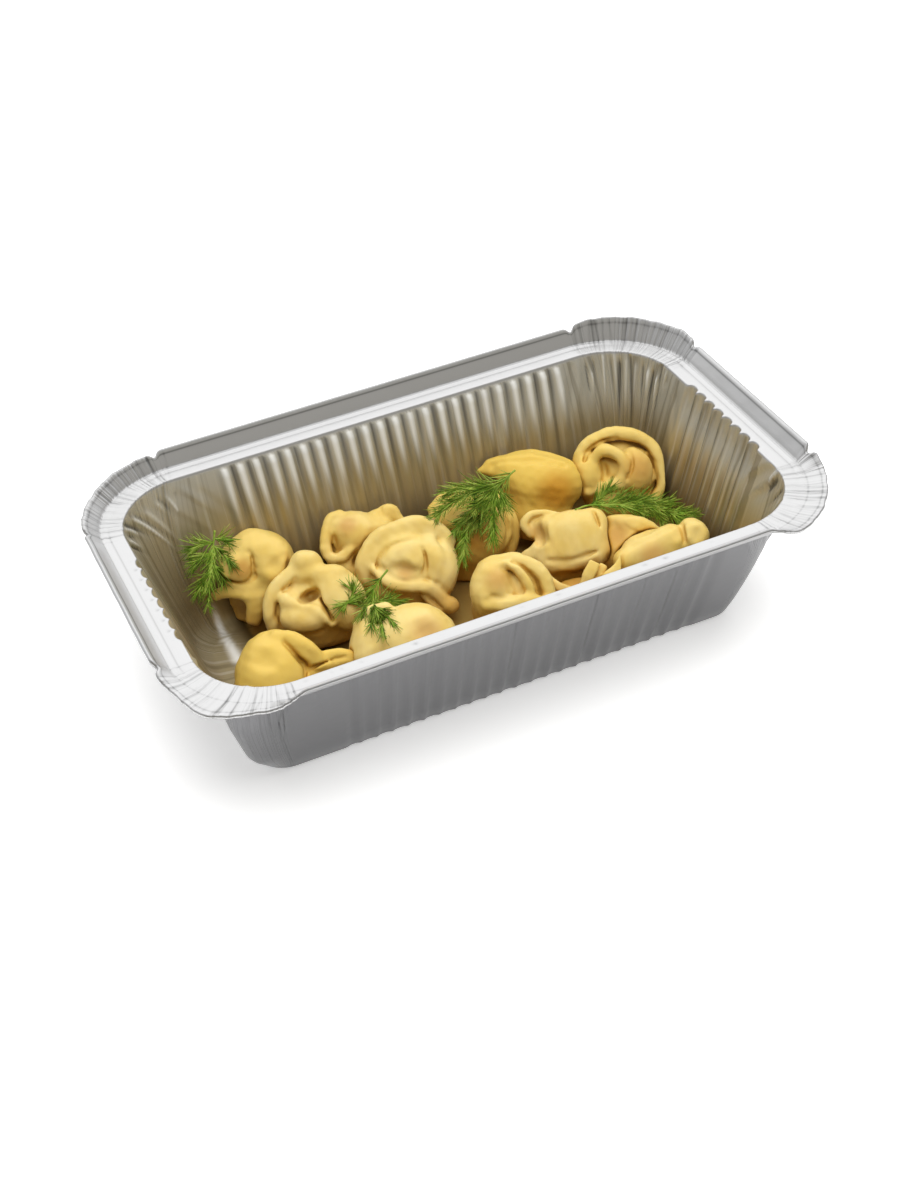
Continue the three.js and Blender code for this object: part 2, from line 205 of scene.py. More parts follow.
FIELD_FAR = 6.0
FIELD_MARGIN = 5.0


def shape_reach(shape):
    """Lowest and highest corner of a shape."""
    if shape["kind"] == "fold":
        path = shape["path"]
        reach = (path["half_wide"] + path["half_thick"]).max()
        return path["middle"].min(0) - reach, path["middle"].max(0) + reach
    centre = np.array(shape["centre"], float)
    half = np.array(shape["half"], float)
    half[:2] = max(half[0], half[1]) if shape["turn"] else half[:2]
    return centre - half, centre + half


def turned(shape, r, u, t):
    """Places relative to a turned shape's centre."""
    right, up, out = shape["centre"]
    c, s = math.cos(shape["turn"]), math.sin(shape["turn"])
    dr = (r - right)[:, None, None]
    du = (u - up)[None, :, None]
    dt = (t - out)[None, None, :]
    return c * dr + s * du, c * du - s * dr, dt


def ball_distance(shape, r, u, t):
    x, y, z = turned(shape, r, u, t)
    a, b, c = shape["half"]
    k0 = np.sqrt((x / a) ** 2 + (y / b) ** 2 + (z / c) ** 2)
    k1 = np.sqrt((x / a ** 2) ** 2 + (y / b ** 2) ** 2 + (z / c ** 2) ** 2)
    return (k0 * (k0 - 1) / np.maximum(k1, 1e-6)).astype(np.float32)


def pillow_distance(shape, r, u, t):
    x, y, z = turned(shape, r, u, t)
    edge = shape["edge"]
    a, b, c = (h - edge for h in shape["half"])
    qx, qy, qz = np.abs(x) - a, np.abs(y) - b, np.abs(z) - c
    outside = np.sqrt(np.maximum(qx, 0) ** 2 + np.maximum(qy, 0) ** 2 + np.maximum(qz, 0) ** 2)
    inside = np.minimum(np.maximum(np.maximum(qx, qy), qz), 0)
    return (outside + inside - edge).astype(np.float32)


def fold_distance(shape, r, u, t):
    path = shape["path"]
    p = np.stack(np.meshgrid(r, u, t, indexing="ij"), -1).astype(np.float32)
    best = np.full(p.shape[:3], 99.0, np.float32)
    for i in range(len(path["middle"]) - 1):
        start = path["middle"][i]
        step = path["middle"][i + 1] - start
        share = np.clip((p - start) @ step / (step @ step), 0, 1)
        q = p - start - share[..., None] * step
        x, y = (q @ path[key][i] * (1 - share) + q @ path[key][i + 1] * share for key in ("across", "up"))
        rest = np.maximum((q * q).sum(-1) - x * x - y * y, 0)
        half_thick, half_wide = (path[key][i] * (1 - share) + path[key][i + 1] * share
                                 for key in ("half_thick", "half_wide"))
        side = np.maximum(np.abs(x) - (half_wide - half_thick), 0)
        best = np.minimum(best, np.sqrt(side * side + y * y + rest) - half_thick)
    return best


DISTANCES = {"ball": ball_distance, "pillow": pillow_distance, "fold": fold_distance}


def window(axis, low, high):
    """The slice of a grid axis between two values."""
    return slice(int(np.searchsorted(axis, low)), int(np.searchsorted(axis, high)))


def dough_field(shapes, r, u, t):
    """Signed distance to a dumpling over a grid, below 0 in the dough."""
    field = np.full((len(r), len(u), len(t)), FIELD_FAR, np.float32)
    for shape in shapes:
        low, high = shape_reach(shape)
        low, high = low - FIELD_MARGIN, high + FIELD_MARGIN
        cut = tuple(window(*ends) for ends in zip((r, u, t), low, high))
        part = field[cut]
        if not part.size:
            continue
        here = DISTANCES[shape["kind"]](shape, r[cut[0]], u[cut[1]], t[cut[2]])
        soft = shape["soft"]
        part[...] = smooth_max(part, -here, soft) if shape["carve"] else smooth_min(part, here, soft)
    return field


# ------------------------------------------------------------------ meshing a field

def surface_net(field):
    """Points, in grid steps, and quads of the surface where a field is zero."""
    inside = field < 0
    cells = tuple(n - 1 for n in field.shape)
    total = np.zeros(cells + (3,), np.float32)
    count = np.zeros(cells, np.int16)
    edges = []
    for axis in range(3):
        low, high = (tuple(cut if k == axis else slice(None) for k in range(3))
                     for cut in (slice(-1), slice(1, None)))
        crossed = inside[low] != inside[high]
        at = np.argwhere(crossed)
        before, after = field[low][crossed], field[high][crossed]
        place = at.astype(np.float32)
        place[:, axis] += before / (before - after)
        first, second = [a for a in range(3) if a != axis]
        keep = np.ones(len(at), bool)
        for other in (first, second):
            keep &= (at[:, other] > 0) & (at[:, other] < field.shape[other] - 1)
        at, place, before = at[keep], place[keep], before[keep]
        ring = []
        for da, db in ((0, 0), (1, 0), (1, 1), (0, 1)):
            cell = at.copy()
            cell[:, first] -= da
            cell[:, second] -= db
            np.add.at(total, tuple(cell.T), place)
            np.add.at(count, tuple(cell.T), 1)
            ring.append(cell)
        edges.append((axis, before < 0, ring))
    number = np.full(cells, -1, np.int64)
    used = count > 0
    number[used] = np.arange(used.sum())
    points = total[used] / count[used][:, None]
    quads = []
    for axis, outwards, ring in edges:
        quad = np.stack([number[tuple(cell.T)] for cell in ring], 1)
        flip = outwards == (axis == 1)
        quad[flip] = quad[flip][:, ::-1]
        quads.append(quad)
    return points, np.concatenate(quads)


def relax(points, quads, rounds, share):
    """Evens out a mesh: each point moves a share of the way to the mean of its neighbours."""
    ends = np.concatenate([quads[:, [0, 1]], quads[:, [1, 2]], quads[:, [2, 3]], quads[:, [3, 0]]])
    both = np.concatenate([ends, ends[:, ::-1]])
    degree = np.bincount(both[:, 0], minlength=len(points))[:, None]
    for _ in range(rounds):
        for step in (share, -share * 0.9):
            sums = [np.bincount(both[:, 0], points[both[:, 1], k], len(points)) for k in range(3)]
            points = points + step * (np.stack(sums, 1) / degree - points)
    return points


def largest_part(points, quads):
    """Keeps the biggest connected part of a mesh."""
    label = np.arange(len(points))
    while True:
        low = label[quads].min(1)
        new = label.copy()
        np.minimum.at(new, quads.ravel(), np.repeat(low, 4))
        new = new[new]
        if (new == label).all():
            break
        label = new
    keep = label == np.bincount(label).argmax()
    number = np.cumsum(keep) - 1
    return points[keep], number[quads[keep[quads].all(1)]]


def grid_sample(field, places):
    """Values of a field between its grid points."""
    places = np.clip(places, 0, np.array(field.shape) - 1.001)
    i = places.astype(int)
    f = places - i
    value = np.zeros(len(places))
    for corner in np.ndindex(2, 2, 2):
        weight = np.prod(np.where(corner, f, 1 - f), axis=1)
        value += weight * field[tuple((i + corner).T)]
    return value


# ------------------------------------------------------------------ the dumplings' own shapes

def dumpling(at, tone, meat, *shapes):
    """A dumpling at a place in the tray. Tone runs from 0 for pale dough to 1 for deep yellow dough, and
    meat lists where the filling shows: a place, and how far it shows from there."""
    return {"at": at, "tone": tone, "meat": meat, "shapes": shapes}


# Each dumpling is a disc of dough folded over its filling, pinched and drawn round into a ring,
# and each has settled in its own way. Places are in millimetres to the right, up and out.
DUMPLINGS = {
    "dumpling_ring_left": dumpling(
        (-45, 16, 16.5), 0.15, [],
        ball(1, -4.5, -7, 14.5, 11.5, 9),
        ball(0.5, -0.5, -2, 14.4, 11.2, 7, 10),
        ball(-2.6, -5, 1.2, 9.8, 5.8, 7.6, soft=2.5),
        ball(-8.2, -0.2, 2, 3.6, 4.2, 5.2, 20, soft=1.8),
        ball(8.6, 1.4, 1.6, 8.4, 11.2, 7.8, 33, soft=1),
        fold([(-4.2, 8.8, 3.4), (1.6, 9.2, 4.6), (8, 8.6, 5)], [3.6, 5.4, 6.4], 5, soft=2.4),
        fold([(-3.2, 12, 2), (-7.4, 9, 3.2), (-11.4, 5, 3.6), (-13.8, 0.4, 3.6), (-14, -4.6, 2.4),
              (-12.4, -9.6, -0.6)], [5.6, 5, 4.8, 4.6, 4.6, 4.6], 4.2, soft=1),
        ball(-2.2, 12.8, 1.8, 5.2, 4.4, 4.8, soft=1.8),
        crease([(-5.8, 7.4, 6.4), (-9.4, 4.4, 6.6), (-11.2, 0.6, 6.2), (-11.4, -4.4, 5), (-10.2, -8.4, 3)],
               1, [1.6, 2.6, 3.4, 3, 1.6], soft=1, lean=-0.3),
        fold([(-9.8, 1.2, 4.6), (-5.6, -0.6, 6.4), (-0.8, -1.8, 7.2), (3.4, -4.2, 7), (6.4, -7.2, 5.6)],
             [2.4, 2.8, 2.8, 2.8, 2.4], 2.8, soft=1.6),
        dent(-1, 1.9, 7.6, 4, 2.4, 9, 24, soft=0.9),
        crease([(0.2, 3.6, 7.4), (2.2, 1, 8), (4.4, -2.4, 8), (6.7, -5.8, 6.8)], [1.8, 1.7, 1.4, 1],
               [4.6, 4.8, 3.6, 1.8], soft=1, lean=-0.35),
        crease([(-10.5, -9.4, 2.8), (-4, -10.6, 3.4), (3, -9.6, 3.6)], 1, [1.2, 2, 1.2]),
    ),
    "dumpling_big_arch": dumpling(
        (-11, 18, 18), 0, [(0, -3, 7, 3.5)],
        ball(-1, -2.5, -6, 15.2, 13.5, 10),
        ball(0.6, 1, 1.6, 11.4, 9.4, 7, soft=2.6),
        ball(12.2, -1.5, -1.4, 5.4, 9.8, 7.5, soft=2.4),
        fold([(-13.7, -4.5, 0), (-13.4, -0.5, 1.2), (-11.4, 3.6, 1.8), (-8.7, 7, 2), (-5.2, 9.6, 1.9),
              (-0.6, 11.2, 1.6), (4.6, 12, 0.8), (9.6, 11.2, -0.5), (14, 7.6, -2.5)],
             [5.5, 7.4, 8, 8, 8, 8, 7.6, 7, 5.5], 5.6),
        fold([(8, 7.6, 2.6), (9.8, 4, 4.4), (10.2, 0, 4.8), (9.4, -4.2, 4.2)], [3.6, 4.8, 5, 4], 4.4,
             soft=1.4),
        fold([(-9.6, -2.4, 4.2), (-6.4, -5.6, 5.6), (-1.6, -7.4, 6.2), (3.6, -7.4, 5.8), (7.6, -8, 4.8),
              (10.6, -10.4, 3.2), (13, -13.2, 1.6)], [3.6, 4.4, 4.8, 4.6, 4.4, 4.4, 4.6], 3.8),
        fold([(6.6, -10.4, 3), (9, -13.2, 2.2), (11.6, -15.2, 1.2)], [3, 3.4, 3], 3, soft=0.9),
        ball(14.6, -13.8, 0.8, 3.4, 3, 3.4, -28, soft=1.2),
        dent(-0.4, -2.4, 9, 4.8, 2.4, 3.4, -8, soft=2),
        crease([(5.8, 5.2, 7.8), (6.8, 2, 7.9), (6.9, -1.6, 7.6), (6, -4.4, 7.6)], [0.8, 1.2, 1.2, 0.6],
               [1.4, 2.6, 2.2, 1], soft=1.2, lean=0.2),
        crease([(-9.2, -1.6, 5.4), (-8.4, 1.4, 6.6), (-5.8, 4.6, 7.2), (-1.6, 6.8, 7.4), (3.6, 8.2, 6.6)],
               0.7, [2.6, 2.4, 2, 1.4, 0.7], soft=1.6, lean=-0.2),
        crease([(-7.6, -1.4, 7.6), (-4.6, -4.2, 8.6), (-0.4, -5.4, 8.8), (4.4, -5, 8.4)], 1,
               [0.8, 1.6, 1.8, 1], lean=0.3),
        crease([(7.2, -11.4, 5.2), (9, -12.4, 4.8), (11.8, -14.6, 3.4)], 1, [1, 1.8, 1.2], soft=0.6),
        crease([(-5.6, -9.8, 6.4), (-0.4, -10.4, 6.6), (4.6, -10.2, 6)], 1, [0.8, 1.4, 0.8], soft=0.9),
    ),
    "dumpling_square": dumpling(
        (40, 5, 17), 0, [(-8, 2.6, 3, 4)],
        ball(1, -5, -6, 10, 11, 8),
        pillow(3.6, 0, 0.4, 11.2, 9.2, 5, 8, edge=4.2),
        ball(3.4, 0.4, 2, 10.8, 9, 5.4, 8, soft=4),
        ball(12, 7, 0.8, 3, 3.2, 3.2, soft=3),
        ball(12.6, -3.4, 0.8, 3, 3, 3.2, soft=3),
        ball(-4, -7.4, 1.4, 3.4, 3, 3.2, soft=3),
        fold([(-2.5, -2.4, 1.8), (-7.4, -3.6, 1.4), (-12.2, -4.9, 0.2)], [11, 6.6, 2.6], [5, 3.6, 2],
             soft=2.6),
        fold([(-10, 2.2, 0), (-12.4, 5.4, 0.8), (-10.4, 8.6, 1), (-6.2, 9.4, 1), (-1.6, 9, 1.4)], 2, 2.4,
             soft=0.8),
        ball(-7.4, 4.6, -2.8, 4.2, 4.4, 3.6, soft=2.2),
        fold([(-5, -8.6, 3.2), (0.6, -9, 3.8), (6.4, -7.6, 3.6), (12.8, -4.4, 2.6)], [2.4, 2.4, 2.4, 2.2],
             2.2, soft=1),
        crease([(-4.6, -6.8, 6.2), (1, -7.1, 6.6), (7, -5.6, 6.4), (11, -3.8, 5.4)], 1.2, [0.8, 1, 1, 0.7],
               soft=1.8),
        dent(-7.6, 2.2, 4.6, 1.9, 4.2, 3.6, 12, soft=1.4),
        crease([(10.6, 9.6, 4.4), (11.6, 7.2, 4.8), (12.4, 4.4, 4.6)], 1.2, [1.6, 1.4, 0.8]),
        crease([(-4, 8, 5.6), (-5.8, 4.4, 5.8), (-5.6, 0, 6)], 1.2, [0.8, 1, 0.8], soft=2),
    ),
    "dumpling_ring_right": dumpling(
        (74, 27, 22), 0.45, [(6, -1, 6, 6.5)],
        ball(0, -8, -7, 13, 11, 9),
        ball(0.4, -1.6, -2.4, 13.6, 12, 5, soft=1.5),
        ball(5.2, -1.4, 0.8, 7.6, 8.4, 7, soft=1.2),
        ball(-11, -2.4, -0.5, 5.6, 8.2, 7.2, 8, soft=1.8),
        fold([(-14.4, -1, 0.4), (-13.4, 4.4, 1.2), (-9.2, 8.7, 1.8), (-3.6, 11, 2.2), (2.2, 11.4, 2),
              (7.6, 9.6, 1.8), (11.9, 5.6, 1.6), (14.3, 0, 1.4), (14.9, -6, 0.8), (12.4, -10.8, 0)],
             [3.2, 3.4, 3.2, 3, 2.9, 2.9, 2.9, 2.9, 3, 3.2],
             [4.4, 4.6, 4.8, 4.8, 4.8, 4.8, 4.8, 4.6, 4.4, 4], soft=0.8),
        fold([(-7.8, 7.6, 3), (-5.4, 6, 4.4), (-2.6, 4.6, 5.6)], [2.6, 3.2, 3.2], 3.2, soft=1.4),
        crease([(-12.2, 1.6, 4), (-11, 5, 4.4), (-8.2, 7.4, 4.8), (-5, 8.9, 5.2), (-1.4, 9.3, 5.4)], 1.2,
               [1.2, 1.8, 1.8, 2.2, 2.2], soft=1.2),
        fold([(-9.6, 1.4, 3.2), (-7.2, 4.4, 4.8), (-3.4, 4.8, 5.8), (0.2, 2.4, 6.2), (1.6, -1.6, 5.8),
              (0, -5.6, 4.6)], [3.4, 4.2, 4.4, 4.2, 4.2, 3.6], 3.8, soft=0.9),
        fold([(-7.4, -8.2, 3), (-3.6, -6.4, 4.4), (0.6, -6.6, 4.2)], [3.2, 3.4, 3], 3, soft=1),
        ball(-11, -8.6, 2.6, 2.5, 2, 2.5, soft=0.8),
        dent(-5, -1.2, 6.6, 2, 4.2, 6, 8, soft=1.3),
        crease([(0.6, 8.4, 6), (5.6, 7.6, 6), (10, 4.2, 5.6), (12.2, -0.6, 5), (12, -5.4, 4.2)], 0.9,
               [2.6, 3.8, 4, 3.8, 2.6], soft=1, lean=0.25),
        crease([(2.8, 5.2, 6.6), (4, 2, 7.4), (3.8, -1.4, 7.4), (2.4, -4.6, 6.8)], 1.2, [1.2, 1.6, 1.6, 1],
               soft=1.2),
    ),
    "dumpling_half_moon": dumpling(
        (43.2, 33, 22.4), 0.9, [(8.5, -4, 8, 8.5)],
        ball(2, -8, -4, 12, 12, 9),
        ball(3.6, 0, -1.4, 14.4, 10.2, 10.4, -7, soft=2.5),
        fold([(-18.4, 4.2, -1), (-13.4, 4.9, 0), (-7.4, 4.4, 1), (-1, 3, 1.6)], [1.4, 6.6, 10.4, 13],
             [1.4, 4.6, 8, 11], soft=2.8),
        fold([(-15, 6.6, -1.4), (-9.6, 8.6, -1), (-3.8, 9.8, -0.6), (2.4, 9.7, -0.4), (9.4, 8, -0.8),
              (14.8, 4.6, -1.4), (17, -0.6, -2)], [1.4, 2, 2.2, 2.4, 2.4, 2.4, 2.2], 2.2, soft=2.2),
        dent(7, -6.6, 10.2, 6, 3.2, 3.2, -8, soft=3),
        crease([(-14, 6, 2.2), (-9, 7.2, 5), (-3, 7.6, 6.4), (4, 7.2, 6.4), (10.4, 5.4, 5.4)], 1,
               [0.5, 0.8, 0.8, 0.8, 0.4], soft=1.8),
    ),
    "dumpling_back_left": dumpling(
        (-57, 36, 21), 0.55, [(-4, 0, 8, 4)],
        ball(0.2, 3.4, -2.6, 12, 10.2, 9.2),
        fold([(-1, 0, -4), (-3, -9, -9), (-4, -14, -12)], [17, 16, 12], 9, soft=2.5),
        ball(0.4, 5.6, 1.6, 9, 7, 7, soft=2.6),
        ball(-6, 0.8, 3, 6.4, 6.6, 6.4, soft=1.8),
        ball(6, 1.4, 2.2, 6.6, 8.8, 7.2, soft=1.8),
        fold([(-13, -8.6, 0.6), (-9, -7.4, 2.4), (-4.2, -7.2, 3.4), (0.6, -7, 3.6), (4.8, -4.6, 3.6)],
             [3, 4.4, 5.2, 5.8, 5.4], 3.6, soft=1.8),
        fold([(2, -5.6, 3.4), (0.6, -9.4, 3), (-0.2, -13.2, 2), (-1, -16.6, 0.6)], [7, 6.2, 5.8, 5.2], 3.8,
             soft=2.8),
        crease([(-1.6, 5.6, 8.6), (-0.4, 4.2, 9), (0.1, 1, 9.2), (0.1, -3.2, 8.6)], [0.6, 1, 1.1, 1],
               [1, 2.4, 3.4, 3.6], lean=0.25),
        crease([(0.4, -3.4, 8.4), (-2.2, -5, 7.8), (-6.2, -4.9, 7.2), (-10.4, -2.6, 5.4), (-12, -0.8, 4)],
               [1.4, 1.4, 1.2, 1, 0.8], [3.6, 3.2, 2.8, 2, 1.2], soft=1.3, lean=0.5),
        dent(6.8, 0.6, 10, 2.2, 2.8, 1.9, soft=2.2),
    ),
    "dumpling_near_left": dumpling(
        (-69, -6, 13), 0.75, [(-0.6, 5, 14.5, 3.5)],
        ball(3, -4, -6, 13, 10, 8),
        ball(1.8, -2.6, 0, 12.6, 16, 12, soft=2.5),
        fold([(2.6, 11, 4), (7.2, 9.8, 5), (11.4, 7.2, 4.6), (14.8, 3.8, 3.2), (18.4, 2.6, 1.6)],
             [3.6, 6.6, 7.6, 6.6, 4.6], 5),
        fold([(15, 3.4, 2.2), (19.2, 5.6, 1.8), (23, 6, 1), (27, 4.8, -0.4)], [3.4, 3.4, 3.2, 2], 3,
             soft=0.8),
        fold([(14.6, 0, 2), (19, 2.4, 1.4), (23.4, 3.6, 0.6), (26.4, 3.8, -0.4)], [4, 3.6, 3, 1.8], 3,
             soft=0.6),
        dent(-0.6, 5, 12.4, 3.6, 3.4, 2.6, 20, soft=3),
        crease([(5.4, 9.6, 7.2), (7.4, 7.8, 8.2), (10.2, 4.8, 8.2), (12.4, 2, 7), (12.2, -1.4, 6.4)],
               [0.6, 1.1, 1.4, 1.6, 1.2], [0.8, 2.2, 3.6, 4.4, 2.6], soft=1.5, lean=0.3),
        crease([(13.4, 1.2, 5.2), (16.4, 2.6, 4.2), (20.4, 4, 3.4), (24.2, 4.8, 2.2)], 1,
               [2, 1.8, 1.4, 0.8], soft=0.6),
    ),
    "dumpling_front_middle": dumpling(
        (-27, -16, 16), 0.2, [(8, 3, 10, 6)],
        ball(0, -6, -5, 13, 10, 10),
        ball(4.2, -0.6, 0, 14, 12.6, 11.6, soft=2.5),
        ball(-10.6, -2.6, -1.4, 6.4, 11, 9.4, soft=1.8),
        fold([(-13.6, 5, 0), (-10.4, 8.4, 1.2), (-5.4, 10.2, 2)], [4, 5, 4], 4, soft=1.8),
        crease([(-9, 9, 6.4), (-9.8, 5.6, 8.4), (-9.8, 0, 9.4)], 1, [1, 1.6, 0.8], soft=1.8),
        dent(9, 4, 12.6, 5, 2.8, 2.6, -22, soft=3.4),
    ),
    "dumpling_front_ring": dumpling(
        (14, -11, 16), 0.3, [(-5, 4, 7, 4.5)],
        ball(0, -5, -5, 13, 12, 9),
        ball(0.5, 1, -1.4, 12.4, 9.8, 6.4),
        ball(-6.4, 1.2, 0.8, 7.4, 10, 8.2),
        fold([(-9.6, 8.4, 0.6), (-4.6, 10.4, 1.8), (1.4, 10.4, 2.4), (6.4, 8.4, 2.6), (10.2, 4.6, 2.4),
              (11.8, -0.4, 1.8), (12.2, -6, 0.6)], [3, 3.4, 3.4, 3.2, 3.2, 3.2, 3.4],
             [4, 4.4, 5, 5.4, 5.4, 5, 4.4], soft=0.9),
        fold([(-6.2, 8.2, 3.6), (-1.4, 9, 4.8), (2.6, 6.8, 5.4), (5.2, 3.4, 5.6), (6.4, -0.8, 5.2)],
             [2.6, 2.8, 2.8, 2.8, 2.8], 4.2, soft=0.8),
        crease([(0.2, 10, 6.6), (3.4, 8.4, 7.2), (6.4, 5.4, 7.4), (8.2, 2, 7), (8.8, -1.6, 6)],
               [1, 1.6, 1.9, 2, 1.8], [1.6, 3.4, 4.6, 5, 4.6], soft=1.3, lean=0.15),
        crease([(-2.8, 8.6, 8), (-0.6, 6.4, 8.8), (1.2, 3.6, 9), (3, 0.2, 8.6)], [1, 1.5, 1.8, 2],
               [1.6, 3, 4, 4.2], soft=1.3, lean=0.15),
        fold([(-8, -3.8, 6), (-3, -4, 7.2), (2.4, -2.8, 7.2), (7.6, -2.6, 5.8), (13.2, -3.2, 3)],
             [4, 4.6, 4.4, 4, 3.2], 3.8),
        crease([(-6.4, -1.4, 8.8), (-3, -1.8, 9.4), (0.6, -1.4, 9.2)], 1, [0.8, 1.8, 1.2], soft=0.9),
    ),
    "dumpling_right_roll": dumpling(
        (68, -15, 17), 0.35, [(-4, -3, 5, 5)],
        ball(-2, -5, -4, 14, 11, 9, 12),
        fold([(-12.2, -4.4, 0), (-4.6, -0.8, 1.2), (2.8, 2.8, 1.2)], [8.4, 9.4, 10.4], 9, soft=2),
        ball(9.4, 3.8, 0.6, 5.6, 5.8, 6.4, soft=1),
        crease([(4.8, 9, 3.4), (5.5, 6, 5.6), (6.1, 2.4, 6.4), (6.6, -1, 6.2)], 1, [1.6, 2.4, 2.2, 1],
               soft=0.9, lean=-0.2),
        dent(3.4, 4.8, 7.6, 1.5, 3, 2, 16, soft=1.8),
        dent(10.6, 4.6, 7.6, 2.2, 2.8, 2, soft=1.8),
        crease([(-10.4, 0.6, 3.8), (-4, 3.6, 5), (1.6, 6.6, 4.8)], 1, [0.6, 1, 0.6]),
    ),
    "dumpling_behind_herb": dumpling(
        (16.5, 27, 18), 0.65, [(2, -5, 9, 6)],
        ball(0, -5, -4, 12, 12, 10),
        ball(-1, -12, -8, 12, 9, 8, soft=3),
        ball(0.6, -0.2, 0, 14.8, 12.6, 10.6, soft=2.5),
        fold([(-12.6, 5.6, -1), (-8.6, 10.4, -0.6), (-3.6, 12.2, -0.4)], [2.4, 2.6, 2.4], 3, soft=1.8),
        fold([(8.4, 11.4, -0.6), (12.4, 7.4, 0), (14.8, 1.6, 0.2), (15.2, -4.4, -0.4), (13.9, -9.6, -1.4)],
             [2.4, 2.6, 2.8, 2.6, 2.4], 3),
        crease([(9.8, 8.4, 5.6), (12, 3.8, 5.8), (12.8, -1.6, 5.4), (12.2, -7, 4.6)], 1,
               [0.8, 1.4, 1.4, 0.8]),
    ),
    "dumpling_back_middle": dumpling(
        (-23.5, 36, 21), 0.3, [(-0.5, 4.5, 6, 4)],
        ball(3, -7, -5, 11, 12, 8),
        ball(1.6, 2.2, -0.6, 8.6, 7.4, 7.4),
        ball(8, 3.2, -3, 7, 5.8, 5.6, 12),
        fold([(-3.4, 8, 1), (-6.8, 6.6, 1.8), (-7.9, 1.8, 2.6), (-7.9, -3, 2.6)], [3.4, 3.2, 3, 2.8], 3.6),
        fold([(-7.9, -3.6, 2.8), (-6.4, -6.2, 3.2), (-2.6, -5.8, 3.8), (0.8, -3.6, 4.2)], [3.2, 4, 4, 3.2],
             3.4, soft=1.4),
        fold([(-5.6, -7.4, 1.6), (-1.2, -9.6, 0.8)], 4.2, 3.2, soft=1.4),
        fold([(-9.4, 3.6, -2.6), (-12, -0.8, -2.6), (-12.4, -5, -3)], [4.6, 4.6, 4.4], 3.4, soft=1),
        fold([(8.6, 8.4, -2.2), (12, 9.8, -2.2), (14.4, 9, -2.6), (16.8, 6.4, -3.2)], [3.4, 5, 5, 3.6], 4),
        dent(-5, -1.4, 6, 1.3, 3.8, 4.6, 8, soft=0.8),
        dent(2.4, -7.2, 5, 2.2, 3.4, 5, -14, soft=1.2),
        crease([(9.6, 11.4, -0.2), (10.4, 9, 1), (11.6, 6.6, 1.2)], 1, [1.6, 1.8, 1], soft=0.8),
        crease([(-5.4, 4.6, 6.6), (-2.8, 6.2, 6.6), (1.8, 6.4, 6.6)], 1, [1, 0.9, 0.5]),
    ),
    "dumpling_petals": dumpling(
        (40, -13, 13), 0.3, [(-3.4, 0, -4, 5)],
        ball(0, -10.5, -7, 13, 9, 8),
        ball(-2, -5, -9, 8, 5.6, 5),
        fold([(-12.8, 2.6, 0.4), (-11.2, -0.6, 1.2), (-8.2, -3, 1.8), (-4.2, -4, 1.8), (-0.4, -3.6, 1.4)],
             [0.7, 2.8, 3.6, 3.4, 2.2], [0.7, 1.8, 2.2, 2.2, 1.8], soft=0.7),
        fold([(-1.4, -3.6, 1), (0.6, 0.6, 1.8), (2.6, 5.2, 1.8)], [3.6, 4.2, 4], [2.4, 2.2, 1.4], soft=0.7),
        fold([(1.2, -3.4, -0.6), (3.6, 0.6, -0.2), (5.6, 4.2, -0.4)], [3.4, 3.8, 3], [2.4, 2.2, 1.6],
             soft=0.9),
        fold([(3.8, -2.4, 1.2), (7.4, 0.8, 2), (10.2, 4, 1.8), (11.2, 8.2, 1)], [3.2, 4.2, 3.4, 0.7],
             [2.2, 2.2, 1.6, 0.7], soft=0.7),
    ),
    "dumpling_tucked_right": dumpling(
        (62, 0, 14), 0.4, [(-4, 0, 7, 6)],
        ball(-1, -3, -2, 11, 10.5, 9),
        fold([(-1.6, 3.8, 4.6), (3.6, 3.2, 5), (9.8, 0, 2.6)], [4.4, 6.8, 5.6], 3.6, soft=1.6),
        fold([(-8, 4.2, 2), (-3.6, 5.6, 3.2), (1.2, 5.8, 3.6)], [3, 3.4, 3.4], 3, soft=1.8),
        dent(-3.8, 0.6, 8, 3.4, 4, 2.6, 10, soft=2.2),
        crease([(-1.6, 3, 7.6), (2, 1, 8.2), (6, -0.8, 7.4), (9.6, -2.6, 5)], 1, [1.2, 2, 1.6, 0.8],
               soft=0.9, lean=-0.3),
    ),
}


# ------------------------------------------------------------------ building the dumplings

GRID_STEP = 0.5
GRID_MARGIN = 4.5
GAP = 0.3
FLOOR_CLEAR = 0.8
WALL_CLEAR = FLUTE_DEPTH + 0.4
# How far out from the dough the painted shade of creases, and of the gaps between dumplings, looks for
# nearby dough.
CREASE_SHADE_REACH = 2.2
GAP_SHADE_REACH = 4.4
ROOM_CORNER = 12.0
DOUGH_SEED = 40
SEED_STEP = 7


def grid_for(shapes, at_face):
    """Index range, on one lattice shared by all dumplings, of the grid round some shapes."""
    reaches = [shape_reach(shape) for shape in shapes if not shape["carve"]]
    low = np.min([low for low, _ in reaches], 0) + at_face - GRID_MARGIN
    high = np.max([high for _, high in reaches], 0) + at_face + GRID_MARGIN
    return np.floor(low / GRID_STEP).astype(int), np.ceil(high / GRID_STEP).astype(int) + 1


def raw_dumpling(spec):
    at_face = AXES @ np.array(spec["at"], float)
    low, high = grid_for(spec["shapes"], at_face)
    axes = [np.arange(a, b) * GRID_STEP - c for a, b, c in zip(low, high, at_face)]
    return {"low": low, "high": high, "field": dough_field(spec["shapes"], *axes), "at_face": at_face}


def shared_part(mine, other):
    """Slices of two grids where they overlap, or None."""
    low = np.maximum(mine["low"], other["low"])
    high = np.minimum(mine["high"], other["high"])
    if (low >= high).any():
        return None
    return [tuple(map(slice, low - grid["low"], high - grid["low"])) for grid in (mine, other)]


